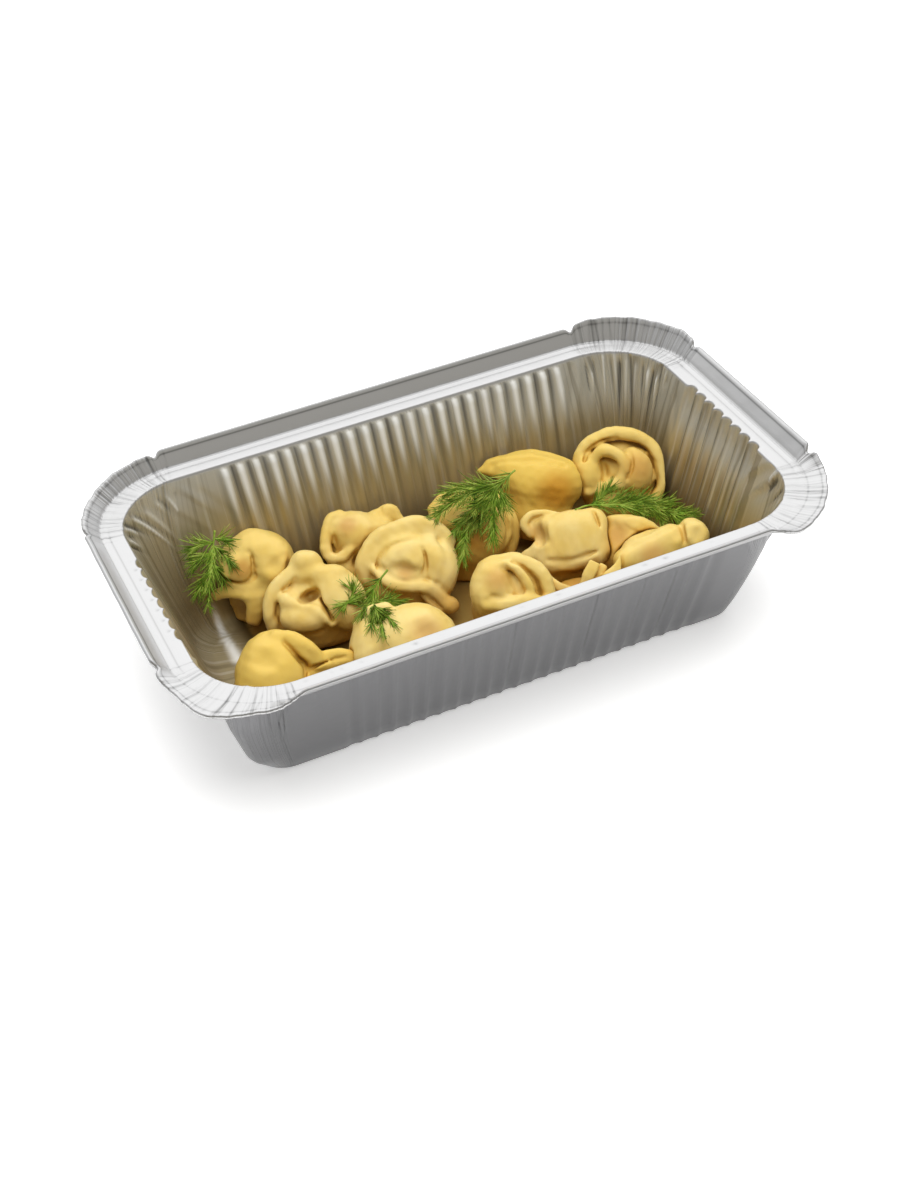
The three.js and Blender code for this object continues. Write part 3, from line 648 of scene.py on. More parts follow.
def room_distance(x, y, z):
    """Signed distance to the room in the tray, below 0 inside it."""
    qx, qy = (np.abs(place) - (half - (LEDGE_HEIGHT - z) * lean - WALL_CLEAR - ROOM_CORNER)
              for place, half, lean in zip((x, y), MOUTH_HALF, LEAN))
    outside = np.sqrt(np.maximum(qx, 0) ** 2 + np.maximum(qy, 0) ** 2)
    wall = (outside + np.minimum(np.maximum(qx, qy), 0) - ROOM_CORNER) * math.cos(SIDE_TAPER)
    return smooth_max(wall, FLOOR_CLEAR - z, 3.0)


def world_of(grid):
    """The model's coordinates at every place of a grid."""
    axes = [np.arange(a, b, dtype=np.float32) * GRID_STEP for a, b in zip(grid["low"], grid["high"])]
    r, u, t = np.ix_(*axes)
    return [r * a + u * b + t * c for a, b, c in AXES.astype(np.float32).T]


def vertex_normals(points, quads):
    face = np.cross(points[quads[:, 2]] - points[quads[:, 0]], points[quads[:, 3]] - points[quads[:, 1]])
    normal = np.zeros_like(points)
    for k in range(4):
        for axis in range(3):
            normal[:, axis] += np.bincount(quads[:, k], face[:, axis], len(points))
    return unit(normal)


def build_dumpling(name, raw, names, seed):
    """Meshes one dumpling where it gives way to those before it, the floor and the walls."""
    grid = raw[name]
    x, y, z = world_of(grid)
    where = np.stack([x, y, z], -1)
    field = grid["field"] + 0.22 * waves(where, 8.5, seed) + 0.07 * waves(where, 2.8, seed + 1)
    union = grid["field"].copy()
    for other in names:
        cuts = None if other == name else shared_part(grid, raw[other])
        if cuts is None:
            continue
        theirs = raw[other]["field"][cuts[1]]
        if names.index(other) < names.index(name):
            field[cuts[0]] = smooth_max(field[cuts[0]], GAP - theirs, 0.9)
        union[cuts[0]] = np.minimum(union[cuts[0]], theirs)
    field = smooth_max(field, room_distance(x, y, z), 1.2)
    steps, quads = largest_part(*surface_net(field))
    steps = relax(steps, quads, 2, 0.5)
    normal = vertex_normals(steps, quads)
    face = (steps + grid["low"]) * GRID_STEP
    obj = make_object(name + "_dough", face @ AXES, quads)
    # Painted shade: the less room in front of a point, in its own or its neighbours' dough, the darker it is
    # in creases and gaps.
    for shade, reach in (("painted_crease_shade", CREASE_SHADE_REACH), ("painted_gap_shade", GAP_SHADE_REACH)):
        air = grid_sample(union, steps + normal * (reach / GRID_STEP))
        add_attribute(obj, shade, np.clip(1 - air / reach, 0, 1.5))
    local = face - grid["at_face"]
    filling = np.zeros(len(face))
    for right, up, out, size in DUMPLINGS[name]["meat"]:
        reach = np.linalg.norm(local - (right, up, out), axis=1)
        filling = np.maximum(filling, np.exp(-(reach / size) ** 2))
    add_attribute(obj, "filling", filling)
    # Painted shade: the dough is darkened the lower it lies in the tray.
    add_attribute(obj, "low", smooth_step(21, 4, (face @ AXES)[:, 2]))
    add_attribute(obj, "tone", np.full(len(face), DUMPLINGS[name]["tone"]))
    return obj


def build_dumplings():
    names = list(DUMPLINGS)
    raw = {name: raw_dumpling(DUMPLINGS[name]) for name in names}
    seeds = range(DOUGH_SEED, 999, SEED_STEP)
    return {name: build_dumpling(name, raw, names, seed) for name, seed in zip(names, seeds)}


# ------------------------------------------------------------------ the foil tray

# Each side's way outwards and the axis it runs along. Corner k comes after side k: the corners are
# far right, far left, near left and near right.
SIDES = [((1, 0), 1), ((0, 1), 0), ((-1, 0), 1), ((0, -1), 0)]
# Whether each side's columns run towards +X or +Y.
HEADING = np.array([1, -1, -1, 1])
LIP_LEAN = np.radians([44.6, 44.6, 44.6, 36.0])
LIP_LENGTH = 6.3
CORNER_LEAN = np.radians([42, 46, 78, 82])
CORNER_LENGTH = np.array([8.2, 5.9, 4.5, 5.9])
# How deep, in millimetres, the lip is notched where each corner starts and ends.
LIP_NOTCHES = np.array([(1.5, 2.0), (1.8, 1.5), (1.8, 0.5), (0.5, 2.2)])
# The near left corner's lip is drawn out into a blunt tip, and its wall is pushed out.
CORNER_PULL = 4.2
CORNER_BULGE = 4.4
CORNER_STATIONS = 104
CORNER_ARC = 37.0
FOOT_CORNER = 10.5
FOOT_HEIGHT = 3.8
MOUTH_BEND = 0.9
RIB_PITCH = 5.573
RIB_START = -57.4 - RIB_PITCH / 2
RIB_COUNT = 23
RIB_STATIONS = 6
FLUTE_PITCH = 5.6
FLUTE_START = -23.5
FLUTE_COUNT = 8
FLUTE_STATIONS = 7
FLUTE_RELIEF = 0.9
# How far the flutes of each side cut into the ledge.
FLUTE_BITE = np.array([1.9, 0.0, 1.0, 0.0])
LEDGE_GROOVE = 4.6
LEDGE_BEAD = 6.0
DIMPLE_OUT = 1.9
NEAR_DIMPLES = (-72, -64, -61, -55, -38, -30, -12, -4, 8, 21, 37, 44, 60)
GLEAM_PLACE = -72.3
# For each corner: how many folds fan out over its ledge and lip, and how high they are.
FAN_COUNTS = (40, 34, 28, 26)
FAN_HEIGHTS = (0.11, 0.14, 0.11, 0.11)
# For each corner: how many big creases, how steeply they lean, their fanning, their reach and width.
WRINKLES = ((22, 0.0, 0.012, (16, 40), 0.030), (15, -0.024, -0.008, (9, 26), 0.046),
            (16, 0.0, 0.006, (14, 40), 0.034), (14, 0.018, 0.006, (12, 34), 0.044))
# Where the loops of the floor and the lip lie, as shares of the base and of the lip's length.
FLOOR_SHARES = (0.4, 0.85, 0.885, 0.905, 0.925, 0.945, 0.965)
LIP_SHARES = (0.04, 0.14, 0.34, 0.58, 0.72, 0.8, 0.88, 1.0)
# Above this height the wall's loops lie closer together.
FINE_FROM = 26
HEM = 0.6
# The hem's loops: how many degrees each has turned over the edge, and how much painted shade it gets.
HEM_LOOPS = ((50, 0.0), (100, 0.1), (155, 0.6), (215, 1.0))
WALL_SKIN = 0.5
WRINKLE_SEED = 700
FAN_SEED = 300
DIMPLE_SEED = 12
LIP_SEED = 5
FLOOR_SEED = 9


def stations():
    """Columns for every place round the tray: side, share along a straight, share of a corner."""
    side, along, turn = [], [], []
    for k, (_, end) in enumerate(SIDES):
        half = MOUTH_HALF[end] - MOUTH_CORNER
        start, pitch, count, fine, ends = (
            (RIB_START, RIB_PITCH, RIB_COUNT, RIB_STATIONS, (24, 9)) if end == 0
            else (FLUTE_START, FLUTE_PITCH, FLUTE_COUNT, FLUTE_STATIONS, (9, 9))
        )
        places = np.concatenate([
            np.linspace(-half, start, ends[0])[:-1],
            start + np.arange(count * fine) * pitch / fine,
            np.linspace(start + count * pitch, half, ends[1]),
        ])
        places = places if HEADING[k] > 0 else -places[::-1]
        columns = len(places) - 1
        side += [k] * (columns + CORNER_STATIONS)
        along += list(places[:-1] / half) + [1.0] * CORNER_STATIONS
        turn += [-1.0] * columns + list(np.arange(CORNER_STATIONS) / CORNER_STATIONS)
    return np.array(side), np.array(along), np.array(turn)


SIDE, ALONG, TURN = stations()
ON_CORNER = TURN >= 0
CORNERS = [(SIDE == k) & ON_CORNER for k in range(4)]
STRAIGHTS = [(SIDE == k) & ~ON_CORNER for k in range(4)]
END_WALLS = STRAIGHTS[0] | STRAIGHTS[2]
TURN = TURN.clip(0, 1)
LENGTH = np.array([MOUTH_HALF[end] - MOUTH_CORNER for _, end in SIDES])[SIDE]
PLACE = ALONG * LENGTH * HEADING[SIDE]
RIB_PHASE = (PLACE - RIB_START) / RIB_PITCH
FLUTE_PHASE = (PLACE - FLUTE_START) / FLUTE_PITCH
AMONG_FLUTES = (FLUTE_PHASE > 0) & (FLUTE_PHASE < FLUTE_COUNT)
# 1 in the middle of each flute of the end walls, falling to 0 at the ridges between them.
FLUTE_ARCH = END_WALLS * AMONG_FLUTES * (1 - np.abs(2 * (FLUTE_PHASE % 1) - 1) ** 2.6)


def bell(offset, width):
    """1 where an offset is 0, dying out over a width on both sides."""
    return np.exp(-(offset / width) ** 2)


def corner_blend(ramp):
    """0 on the straights and 1 on the corners, changing over a share of the corner."""
    return ON_CORNER * smooth_step(0, ramp, TURN) * smooth_step(0, ramp, 1 - TURN)


def corner_place(k):
    """Each column's place from 0 to 1 round corner k, and beyond it on the straights beside it."""
    place = np.full(len(SIDE), -9.0)
    place[CORNERS[k]] = TURN[CORNERS[k]]
    before = STRAIGHTS[k] & (ALONG > 0.2)
    place[before] = (ALONG[before] - 1) * LENGTH[before] / CORNER_ARC
    beyond = STRAIGHTS[(k + 1) % 4] & (ALONG < -0.2)
    place[beyond] = 1 + (ALONG[beyond] + 1) * LENGTH[beyond] / CORNER_ARC
    return place


def wall_corner(z):
    """Corner radius of the wall at a height."""
    share = np.clip((z - FOOT_HEIGHT) / (LEDGE_HEIGHT - FOOT_HEIGHT), 0, 1)
    return FOOT_CORNER + (MOUTH_CORNER - FOOT_CORNER) * share ** 2


def plan_loop(out, corner, z, reach=0.0, rise=0.0):
    """One loop round the tray, out beyond the mouth line, with an optional reach and rise."""
    result = np.zeros((len(SIDE), 3))
    out = np.broadcast_to(out, 2)
    reach = np.broadcast_to(reach, len(SIDE))
    depth = (LEDGE_HEIGHT - min(z, LEDGE_HEIGHT)) / 50
    for k, ((ox, oy), end) in enumerate(SIDES):
        here = SIDE == k
        half_out = MOUTH_HALF[1 - end] + out[1 - end]
        straight = MOUTH_HALF[end] + out[end] - corner
        even = (MOUTH_HALF[end] - MOUTH_CORNER) * (1 - 0.05 * depth)
        f = ALONG[here]
        sideways = f * even + (straight - even) * np.sign(f) * np.abs(f) ** (12 if straight > even else 5)
        angle = TURN[here] * math.pi / 2
        radius = corner + reach[here]
        bent = ON_CORNER[here]
        outward = np.where(bent, half_out - corner + radius * np.cos(angle), half_out + reach[here])
        sideways = np.where(bent, straight + radius * np.sin(angle), sideways)
        result[here, 0] = ox * outward - oy * sideways
        result[here, 1] = oy * outward + ox * sideways
    result[:, 2] = z + rise
    return result


def ridges(places, centres, widths, heights):
    """Sharp ridges and furrows at some centres along a line."""
    total = np.zeros_like(places)
    for centre, width, height in zip(centres, widths, heights):
        total += height * np.maximum(1 - np.abs(places - centre) / width, 0)
    return total


def corner_wrinkles(z):
    """Creases gathered into each corner of the wall, leaning and dying out on the way down."""
    relief = np.zeros(len(SIDE))
    down = LEDGE_HEIGHT - z
    for k, (count, lean, fan, reaches, width) in enumerate(WRINKLES):
        random = np.random.default_rng(WRINKLE_SEED + k)
        centres = (np.arange(count) + random.uniform(0.1, 0.9, count)) / count * 1.3 - 0.15
        slant = lean + (centres - 0.5) * fan + random.normal(0, 0.0015, count)
        reach = random.uniform(*reaches, count)
        start = random.uniform(-1.5, 5.0, count)
        wide = width * random.uniform(0.6, 1.2, count)
        height = random.uniform(0.35, 0.9, count) * np.where(np.arange(count) % 2, 1, -1)
        strength = smooth_step(start, start + 3.0, down) * smooth_step(reach, reach * 0.35, down)
        relief += ridges(corner_place(k), centres + slant * down, wide, height * strength)
    return relief


def wall_relief(z):
    """How far the wall stands in, towards the food, at a height."""
    down = LEDGE_HEIGHT - z
    relief = -FLUTE_RELIEF * FLUTE_ARCH * smooth_step(3, 24, z) * smooth_step(0, 8, down)
    rising = smooth_step(0.7, 3.4, down)
    for k in (1, 3):
        phase = RIB_PHASE[STRAIGHTS[k]]
        inside = smooth_step(0, 0.5, phase) * smooth_step(0, 0.5, RIB_COUNT - phase)
        number = np.floor(phase)
        strength = 1 + 0.2 * np.sin(number * 2.4 + k) + 0.12 * np.sin(number * 5.1)
        rib = 1 - np.abs(2 * (phase - number) - 1) ** 2.4
        fade = smooth_step(8 + 4 * np.sin(number * 1.7), 33, z) if k == 1 else smooth_step(-5, 8, z)
        relief[STRAIGHTS[k]] += FLUTE_DEPTH * strength * rib * rising * fade * inside
    return relief + corner_wrinkles(z)


def wall_shade(z):
    """Painted shade in the furrows, above 0, and painted highlight on the crests, below 0, of the wall at a
    height.
    """
    down = LEDGE_HEIGHT - z
    beside = np.abs(2 * (RIB_PHASE % 1) - 1)
    among = smooth_step(-0.1, 0.3, RIB_PHASE) * smooth_step(-0.1, 0.3, RIB_COUNT - RIB_PHASE)
    far = (0.8 * smooth_step(0.5, 0.95, beside) - smooth_step(0.6, 0.1, beside)) * among
    far *= smooth_step(26, 3, down) * smooth_step(0.4, 2, down)
    beside = np.abs(2 * (FLUTE_PHASE % 1) - 1)
    end = AMONG_FLUTES * (0.55 * smooth_step(0.8, 1, beside) - 0.4 * bell(beside - 0.68, 0.12))
    end *= smooth_step(6, 26, z) * smooth_step(0.5, 5, down)
    return np.select([ON_CORNER, STRAIGHTS[1], END_WALLS], [-1.5 * corner_wrinkles(z), far, end], 0)


def corner_fan(out):
    """Radial folds of a corner's ledge and lip, as a height, and how deep in a fold each place is, which
    sets its painted shade.
    """
    relief = np.zeros(len(SIDE))
    depth = np.zeros(len(SIDE))
    for k, (count, fold_height) in enumerate(zip(FAN_COUNTS, FAN_HEIGHTS)):
        random = np.random.default_rng(FAN_SEED + k)
        centres = (np.arange(count) + random.uniform(0.1, 0.9, count)) / count * 1.08 - 0.04
        slant = random.normal(0, 0.0020, count)
        wide = random.uniform(0.009, 0.018, count)
        height = random.uniform(0.2, 1.0, count) ** 1.5
        start = random.uniform(-2.5, 4.0, count)
        grow = smooth_step(start, start + 3, out)
        here = CORNERS[k]
        furrow = ridges(TURN[here], centres + slant * out, wide, height * grow)
        pleat = ridges(TURN[here], centres + slant * out + 0.014, wide * 1.3, 0.7 * height * grow)
        relief[here] = fold_height * (pleat - furrow)
        depth[here] = furrow
    return relief, depth


def dimples(out):
    """Small dents in the ledge near the mouth: one by each flute of the left end, a few on the near side."""
    random = np.random.default_rng(DIMPLE_SEED)
    beside = np.abs((FLUTE_PHASE + 0.5) % 1 - 0.5) * FLUTE_PITCH
    total = STRAIGHTS[2] * AMONG_FLUTES * 0.8 * bell(beside, 0.8)
    for place in NEAR_DIMPLES:
        total += STRAIGHTS[3] * random.uniform(0.3, 1.0) * bell(PLACE - place, random.uniform(0.5, 1.1))
    return total * bell(out - DIMPLE_OUT, 0.75)


def ledge_relief(out):
    """Height added to the flat ledge: a groove, a bead by the lip, small dents and the corners' folds."""
    line = 0.34 * bell(out - LEDGE_BEAD, 0.55) - 0.2 * bell(out - LEDGE_GROOVE, 0.4)
    return line * (1 - 0.8 * corner_blend(0.3)) - 0.3 * dimples(out) + corner_fan(out)[0]


def lip_shape():
    """Lean and length of the lip at every station."""
    blend = corner_blend(0.24)
    lean = LIP_LEAN[(SIDE + (TURN > 0.5)) % 4]
    length = LIP_LENGTH + (CORNER_LENGTH[SIDE] - LIP_LENGTH) * blend
    pull = CORNER_PULL * CORNERS[2] * bell(TURN - 0.49, 0.165)
    return lean + (CORNER_LEAN[SIDE] - lean) * blend, length + pull


def lip_scallop():
    """How much longer or shorter the lip's edge is at every place of a corner."""
    wavy = 0.4 * np.sin(TURN * 39 + SIDE) + 0.3 * np.sin(TURN * 71 + 2 * SIDE)
    wavy += 0.5 * np.sin(TURN * 14 + 3 * SIDE)
    first, last = LIP_NOTCHES[SIDE].T
    notch = first * bell(TURN - 0.06, 0.024) + last * bell(TURN - 0.94, 0.024)
    return 0.25 * wavy * corner_blend(0.1) - ON_CORNER * notch


def lip_relief(share):
    """Waves of the lip: crimps on the corners, a faint unevenness on the straights."""
    fan, _ = corner_fan(LEDGE_WIDTH + 6 * share)
    where = np.stack([ALONG * 90 + SIDE * 400.0, np.full(len(SIDE), share * 6.0)], 1)
    return fan * (1.2 + 0.3 * share) + 0.06 * share * waves(where.astype(np.float32), 26, LIP_SEED)


def corner_bulge(z):
    """How far the wall of the near left corner is pushed out at a height."""
    around = CORNERS[2] * np.sin(math.pi * TURN) ** 2
    return CORNER_BULGE * around * smooth_step(1, 14, z) * smooth_step(48, 28, z)


def floor_gleam(points):
    """A painted highlight, a bright streak on the bare floor at the left, up into the far wall: below 0 is
    lighter.
    """
    x, y, z = points.T
    wide = 1.2 + 0.06 * np.clip(38 - y, 0, 20)
    return -bell(x - GLEAM_PLACE, wide) * smooth_step(15, 20, y) * smooth_step(9, 5, z)


def profile_rings():
    """The tray's inner skin, from the floor's edge to the top of the lip: loop, relief, shade and part."""
    none = np.zeros(len(SIDE))
    bend_turn = math.pi / 2 - SIDE_TAPER
    bend_top = BASE_BEND * (1 - math.cos(bend_turn))
    base_out = -(LEDGE_HEIGHT - bend_top) * LEAN - BASE_BEND * math.sin(bend_turn)
    base_corner = wall_corner(0) - 3
    rings = []
    for share in FLOOR_SHARES:
        loop = plan_loop(base_out, base_corner, 0) * (share, share, 1)
        rings.append((loop, none, floor_gleam(loop), "floor"))
    for i in range(4):
        angle = bend_turn * i / 4
        z = BASE_BEND * (1 - math.cos(angle))
        loop = plan_loop(base_out + BASE_BEND * math.sin(angle), base_corner + 3 * i / 4, z, corner_bulge(z))
        rings.append((loop, wall_relief(z), floor_gleam(loop), "bend"))
    tangent = MOUTH_BEND * math.tan(bend_turn / 2)
    top = LEDGE_HEIGHT - tangent * math.cos(SIDE_TAPER)
    bite = FLUTE_ARCH * FLUTE_BITE[SIDE]
    for z in [*np.linspace(bend_top, FINE_FROM, 8)[:-1], *np.linspace(FINE_FROM, top, 20)]:
        reach = bite * smooth_step(LEDGE_HEIGHT - 16, LEDGE_HEIGHT - 1, z) + corner_bulge(z)
        loop = plan_loop(-(LEDGE_HEIGHT - z) * LEAN, wall_corner(z), z, reach)
        rings.append((loop, wall_relief(z), wall_shade(z) + floor_gleam(loop), "wall"))
    for i in (1, 2):
        angle = SIDE_TAPER + bend_turn * i / 3
        out = tangent - MOUTH_BEND * math.cos(angle)
        z = LEDGE_HEIGHT - MOUTH_BEND * (1 - math.sin(angle))
        loop = plan_loop(out, MOUTH_CORNER + out, z, bite)
        rings.append((loop, wall_relief(z) * (1 - i / 3), none, "wall"))
    for out in np.linspace(tangent, LEDGE_WIDTH - 0.3, 12):
        reach = bite * np.clip(1 - (out - tangent) / 3.6, 0, 1) ** 1.3
        loop = plan_loop(out, MOUTH_CORNER + out, LEDGE_HEIGHT, reach)
        # Painted shade in the ledge's groove, the corners' folds and the dents.
        groove = 0.45 * bell(out - LEDGE_GROOVE, 0.3) * (1 - corner_blend(0.2))
        shade = groove + 0.4 * corner_fan(out)[1] + 0.5 * dimples(out)
        rings.append((loop, ledge_relief(out), shade, "ledge"))
    lean, length = lip_shape()
    scallop = lip_scallop()
    for share in LIP_SHARES:
        bend = smooth_step(0, 0.1, share)
        far = share * (length + scallop * smooth_step(0.3, 1, share))
        reach = far * np.sin(lean) + (1 - bend) * far * (1 - np.sin(lean))
        rise = far * np.cos(lean) * bend
        loop = plan_loop(LEDGE_WIDTH, MOUTH_CORNER + LEDGE_WIDTH, LEDGE_HEIGHT, reach, rise)
        # Painted shade at the lip's foot, in a line under the hem, and in the corners' folds.
        edge = (0.5 * (share < 0.1) + 0.75 * bell(share - 0.8, 0.06)) * (1 - 0.5 * corner_blend(0.1))
        rings.append((loop, lip_relief(share), edge + 0.45 * corner_fan(LEDGE_WIDTH + 6 * share)[1], "lip"))
    return rings


def food_reflection_and_shade(points):
    """How much painted reflection of the dough and painted shade the inside gets at each place: most low
    down and among the food, least at the ends.
    """
    x, _, z = points.T
    right = smooth_step(10, 80, x)
    wall = 0.5 * smooth_step(54 - 11 * right, 29 - 7 * right, z) + 0.5 * smooth_step(30, 4, z)
    bare = 0.5 * smooth_step(-62, -72, x) * smooth_step(14, 2, z)
    return (wall * (1 - 0.3 * smooth_step(-60, -92, x)) * (1 - bare)).clip(0, 1)


def grid_normals(points):
    """Unit normals, towards the food or up, of a grid of loops."""
    around = np.roll(points, -1, 1) - np.roll(points, 1, 1)
    normal = np.cross(np.gradient(points, axis=0), around)
    normal /= np.maximum(np.linalg.norm(normal, axis=2), 1e-9)[..., None]
    return -normal if normal[0, :, 2].mean() < 0 else normal


def hem_loops(inner, plain, plain_normal):
    """The rolled hem, which turns over the top edge of the inner skin."""
    up = plain[-1] - plain[-3]
    up /= np.linalg.norm(up, axis=1)[:, None]
    turns = [math.radians(degrees) for degrees, _ in HEM_LOOPS]
    return [inner[-1] + HEM * (up * math.sin(a) - plain_normal[-1] * (1 - math.cos(a))) for a in turns]


def outer_skin(inner, normal, plain, plain_normal, relief, shade, part):
    """Loops and shades of the outside, from the lip down to the foot, with fewer rings than inside."""
    calm = plain + np.where(relief < 0, relief, 0.6 * relief)[..., None] * plain_normal
    for _ in range(4):
        calm[:, END_WALLS] = ((np.roll(calm, 1, 1) + 2 * calm + np.roll(calm, -1, 1)) / 4)[:, END_WALLS]
    calm_normal = grid_normals(calm)
    loops, shades = [], []
    for i in range(len(part) - 2, -1, -1):
        if part[i] == "floor" or (part[i] == "ledge" and i % 3) or (part[i] == "wall" and i < 13 and i % 2):
            continue
        if part[i] == "lip":
            loops.append(inner[i] - FOIL * normal[i])
            # Painted shade: the lip's outside is darkened all over, and more along the inside's painted
            # lines.
            shades.append(0.35 + 0.6 * shade[i])
        else:
            loops.append(np.maximum(calm[i] - WALL_SKIN * calm_normal[i], (-999, -999, 0)))
            # Painted shade in the outer corners' creases.
            shades.append(0.3 * np.abs(relief[i]) * ON_CORNER)
    return loops, shades


def build_tray():
    """One closed sheet: the inner skin, the rolled hem of the lip and the outer skin."""
    plain, relief, shade, part = (np.array(column) for column in zip(*profile_rings()))
    plain[..., 2] += FOIL
    plain_normal = grid_normals(plain)
    inner = plain + relief[..., None] * plain_normal
    normal = grid_normals(inner)
    floor = part == "floor"
    uneven = waves(inner[floor][..., :2].astype(np.float32), 30, FLOOR_SEED)
    inner[floor, :, 2] += 0.12 * (1 + uneven) / 2
    outer, outer_shade = outer_skin(inner, normal, plain, plain_normal, relief, shade, part)
    foot = inner[floor.sum()] * (1, 1, 0)
    loops = [*inner, *hem_loops(inner, plain, plain_normal), *outer, foot]
    count = len(SIDE)
    points = np.concatenate([*loops, [[0, 0, FOIL + 0.05]], [[0, 0, 0]]])
    index = np.arange(len(loops) * count).reshape(len(loops), count)
    after = np.roll(index, -1, 1)
    quads = np.stack([index[:-1], after[:-1], after[1:], index[1:]], -1).reshape(-1, 4)
    hub = len(points) - 2
    floor_fan = [(a, hub, b) for a, b in zip(index[0], after[0])]
    base_fan = [(b, hub + 1, a) for a, b in zip(index[-1], after[-1])]
    obj = make_object("tray_foil", points, [*quads, *floor_fan, *base_fan])
    hem_shade = [np.full(count, dark) for _, dark in HEM_LOOPS]
    lines = np.concatenate([*shade, *hem_shade, *outer_shade, np.zeros(count + 2)])
    crimp = np.tile(corner_blend(0.08), len(loops))
    crimp[:floor.sum() * count] = 0
    around = np.linalg.norm(np.diff(plan_loop(0, MOUTH_CORNER, 0), axis=0, prepend=0), axis=1).cumsum()
    add_attribute(obj, "inside", [*(np.arange(hub) < len(inner) * count), 1, 0])
    add_attribute(obj, "height", points[:, 2])
    # tint: painted reflection of the dough and painted shade, by place in the tray.
    add_attribute(obj, "tint", food_reflection_and_shade(points))
    # shade: painted shade above 0 and painted highlight below 0.
    add_attribute(obj, "shade", lines.clip(-1, 1))
    add_attribute(obj, "around", [*np.tile(around, len(loops)), 0, 0])
    add_attribute(obj, "crimp", [*crimp, 0, 0])
    return obj


# ------------------------------------------------------------------ the dill

# Each stalk runs through places to the right and up, in millimetres. The first is the stem.
SPRIGS = {
    "dill_left": {"at": (-74, 35.5, 25), "leaf": 8.5, "stalks": [
        [(2.7, 15), (1.9, 7.1), (1.1, -0.2), (0.5, -9.2)], [(2.2, 11.1), (-2.9, 10), (-7.4, 7.1)],
        [(1.9, 7.7), (-2.9, 5.4), (-5.1, 2.1)], [(2.2, 10), (6.7, 6), (9.2, 2.4)],
        [(1.6, 4.3), (4.4, 0.9), (5.6, -3)], [(1.3, 1.5), (-1.8, -3), (-2.9, -6.4)],
        [(2.5, 12.2), (5.6, 12.2), (7.2, 11.1)],
    ]},
    "dill_big": {"at": (12, 18, 32), "leaf": 9.0, "stalks": [
        [(16.3, 12.9), (10.8, 8.2)], [(10.8, 8.2), (0.1, 4.5), (-8.3, -0.6), (-12.9, -8.9)],
        [(10.8, 8.2), (2.4, 0.3), (-3.2, -6.6), (-6.4, -13.6)],
        [(10.8, 7.8), (1.5, -4.3), (-0.8, -14.5), (-1.3, -21.9)], [(10.3, 6.8), (5.2, -2), (4.3, -8)],
        [(10.3, 6.8), (8.9, -4.3), (9.1, -15.9)], [(11.2, 6.8), (12.2, 3.6), (14, -0.6)],
        [(10.8, 8.2), (-1.8, 6.8), (-9.7, 3.6)],
    ]},
    "dill_small": {"at": (-28.5, -4.4, 21.5), "leaf": 8.0, "stalks": [
        [(1.7, 12.4), (-2.4, 7.1), (-3.7, 2.6)], [(-11.8, 1.7), (-8.2, 2.6), (-3.3, 2.1)],
        [(-3.3, 2.1), (2.6, 2.6), (8.4, 1.5)], [(-3.3, 2.1), (1.2, -1.9), (6.6, -7.7)],
        [(-3.3, 2.1), (-0.1, -4.2), (1.2, -11.8)], [(-3.3, 2.1), (-2.8, -2.8), (-3.7, -7.7)],
        [(-3.7, 2.1), (-5.5, -0.6), (-6.6, -3)], [(-10.9, 2.6), (-9.5, 5.3), (-11.8, 7.7)],
        [(-10.9, 2.6), (-11.8, 1.7), (-13.4, 0.6)],
    ]},
    "dill_right": {"at": (69.5, 1.4, 22.6), "leaf": 8.0, "stalks": [
        [(-23.2, -1.2), (-18.2, 0.5), (-8.7, 0.7), (-0.4, 1.3), (8, -1.5), (16.3, -2)],
        [(-17.1, 0.5), (-13.2, 4.6), (-9.9, 8)], [(-12.6, 0.6), (-8.2, 3), (-2.6, 3.5)],
        [(-8.7, 0.7), (-2.6, -0.9), (2.4, -4.3)], [(-0.4, 1.3), (4.6, -2), (7.4, -7.1)],
        [(-0.4, 1.3), (6.3, 1.3), (12.4, 1.9)], [(8, -1.5), (13.6, -3.7), (18.6, -2)],
        [(-5.9, 1), (-0.4, 3), (5.2, 2.4)],
    ]},
}

LEAF_GAP = 0.45
STALK_SHARE = 0.72
LEAF_RADIUS = 0.21
HERB_SEED = 90
# Rays that look for the dough under a sprig start this far out, in millimetres, and reach this far,
# in metres.
RAY_START = 60
RAY_LENGTH = 0.2
NO_DOUGH = -99


def add_strand(mesh, path, radius, sides, shade):
    """A tapered strand along a path, closed at both ends. Shade runs from 0 for dark to 1 for light."""
    along = unit(np.gradient(path, axis=0))
    flat = unit(np.cross(along, (0, 0, 1)))
    thick = np.cross(flat, along)
    first = len(mesh["points"])
    for place, wide, high, r in zip(path, flat, thick, radius):
        for k in range(sides):
            angle = 2 * math.pi * k / sides
            mesh["points"].append(place + r * (wide * math.cos(angle) + 0.75 * high * math.sin(angle)))
    mesh["shade"] += [shade] * (len(path) * sides)
    last = first + (len(path) - 1) * sides
    for ring in range(first, last, sides):
        for k in range(sides):
            a, b = ring + k, ring + (k + 1) % sides
            mesh["faces"].append((a, b, b + sides, a + sides))
    mesh["faces"] += [range(first, first + sides)[::-1], range(last, last + sides)]


def add_leaf(mesh, start, direction, length, radius, random):
    """A fine leaf that bends a little and ends in a point."""
    side = np.array([-direction[1], direction[0], 0.0])
    curl = random.uniform(-0.16, 0.16) * length
    lift = random.uniform(-0.05, 0.22) * length
    share = np.linspace(0, 1, 5)[:, None]
    path = start + direction * length * share + side * curl * share ** 2
    path = path + np.array([0, 0, lift]) * share ** 1.5
    add_strand(mesh, path, radius * (1 - 0.75 * share[:, 0] ** 2), 3, random.random())


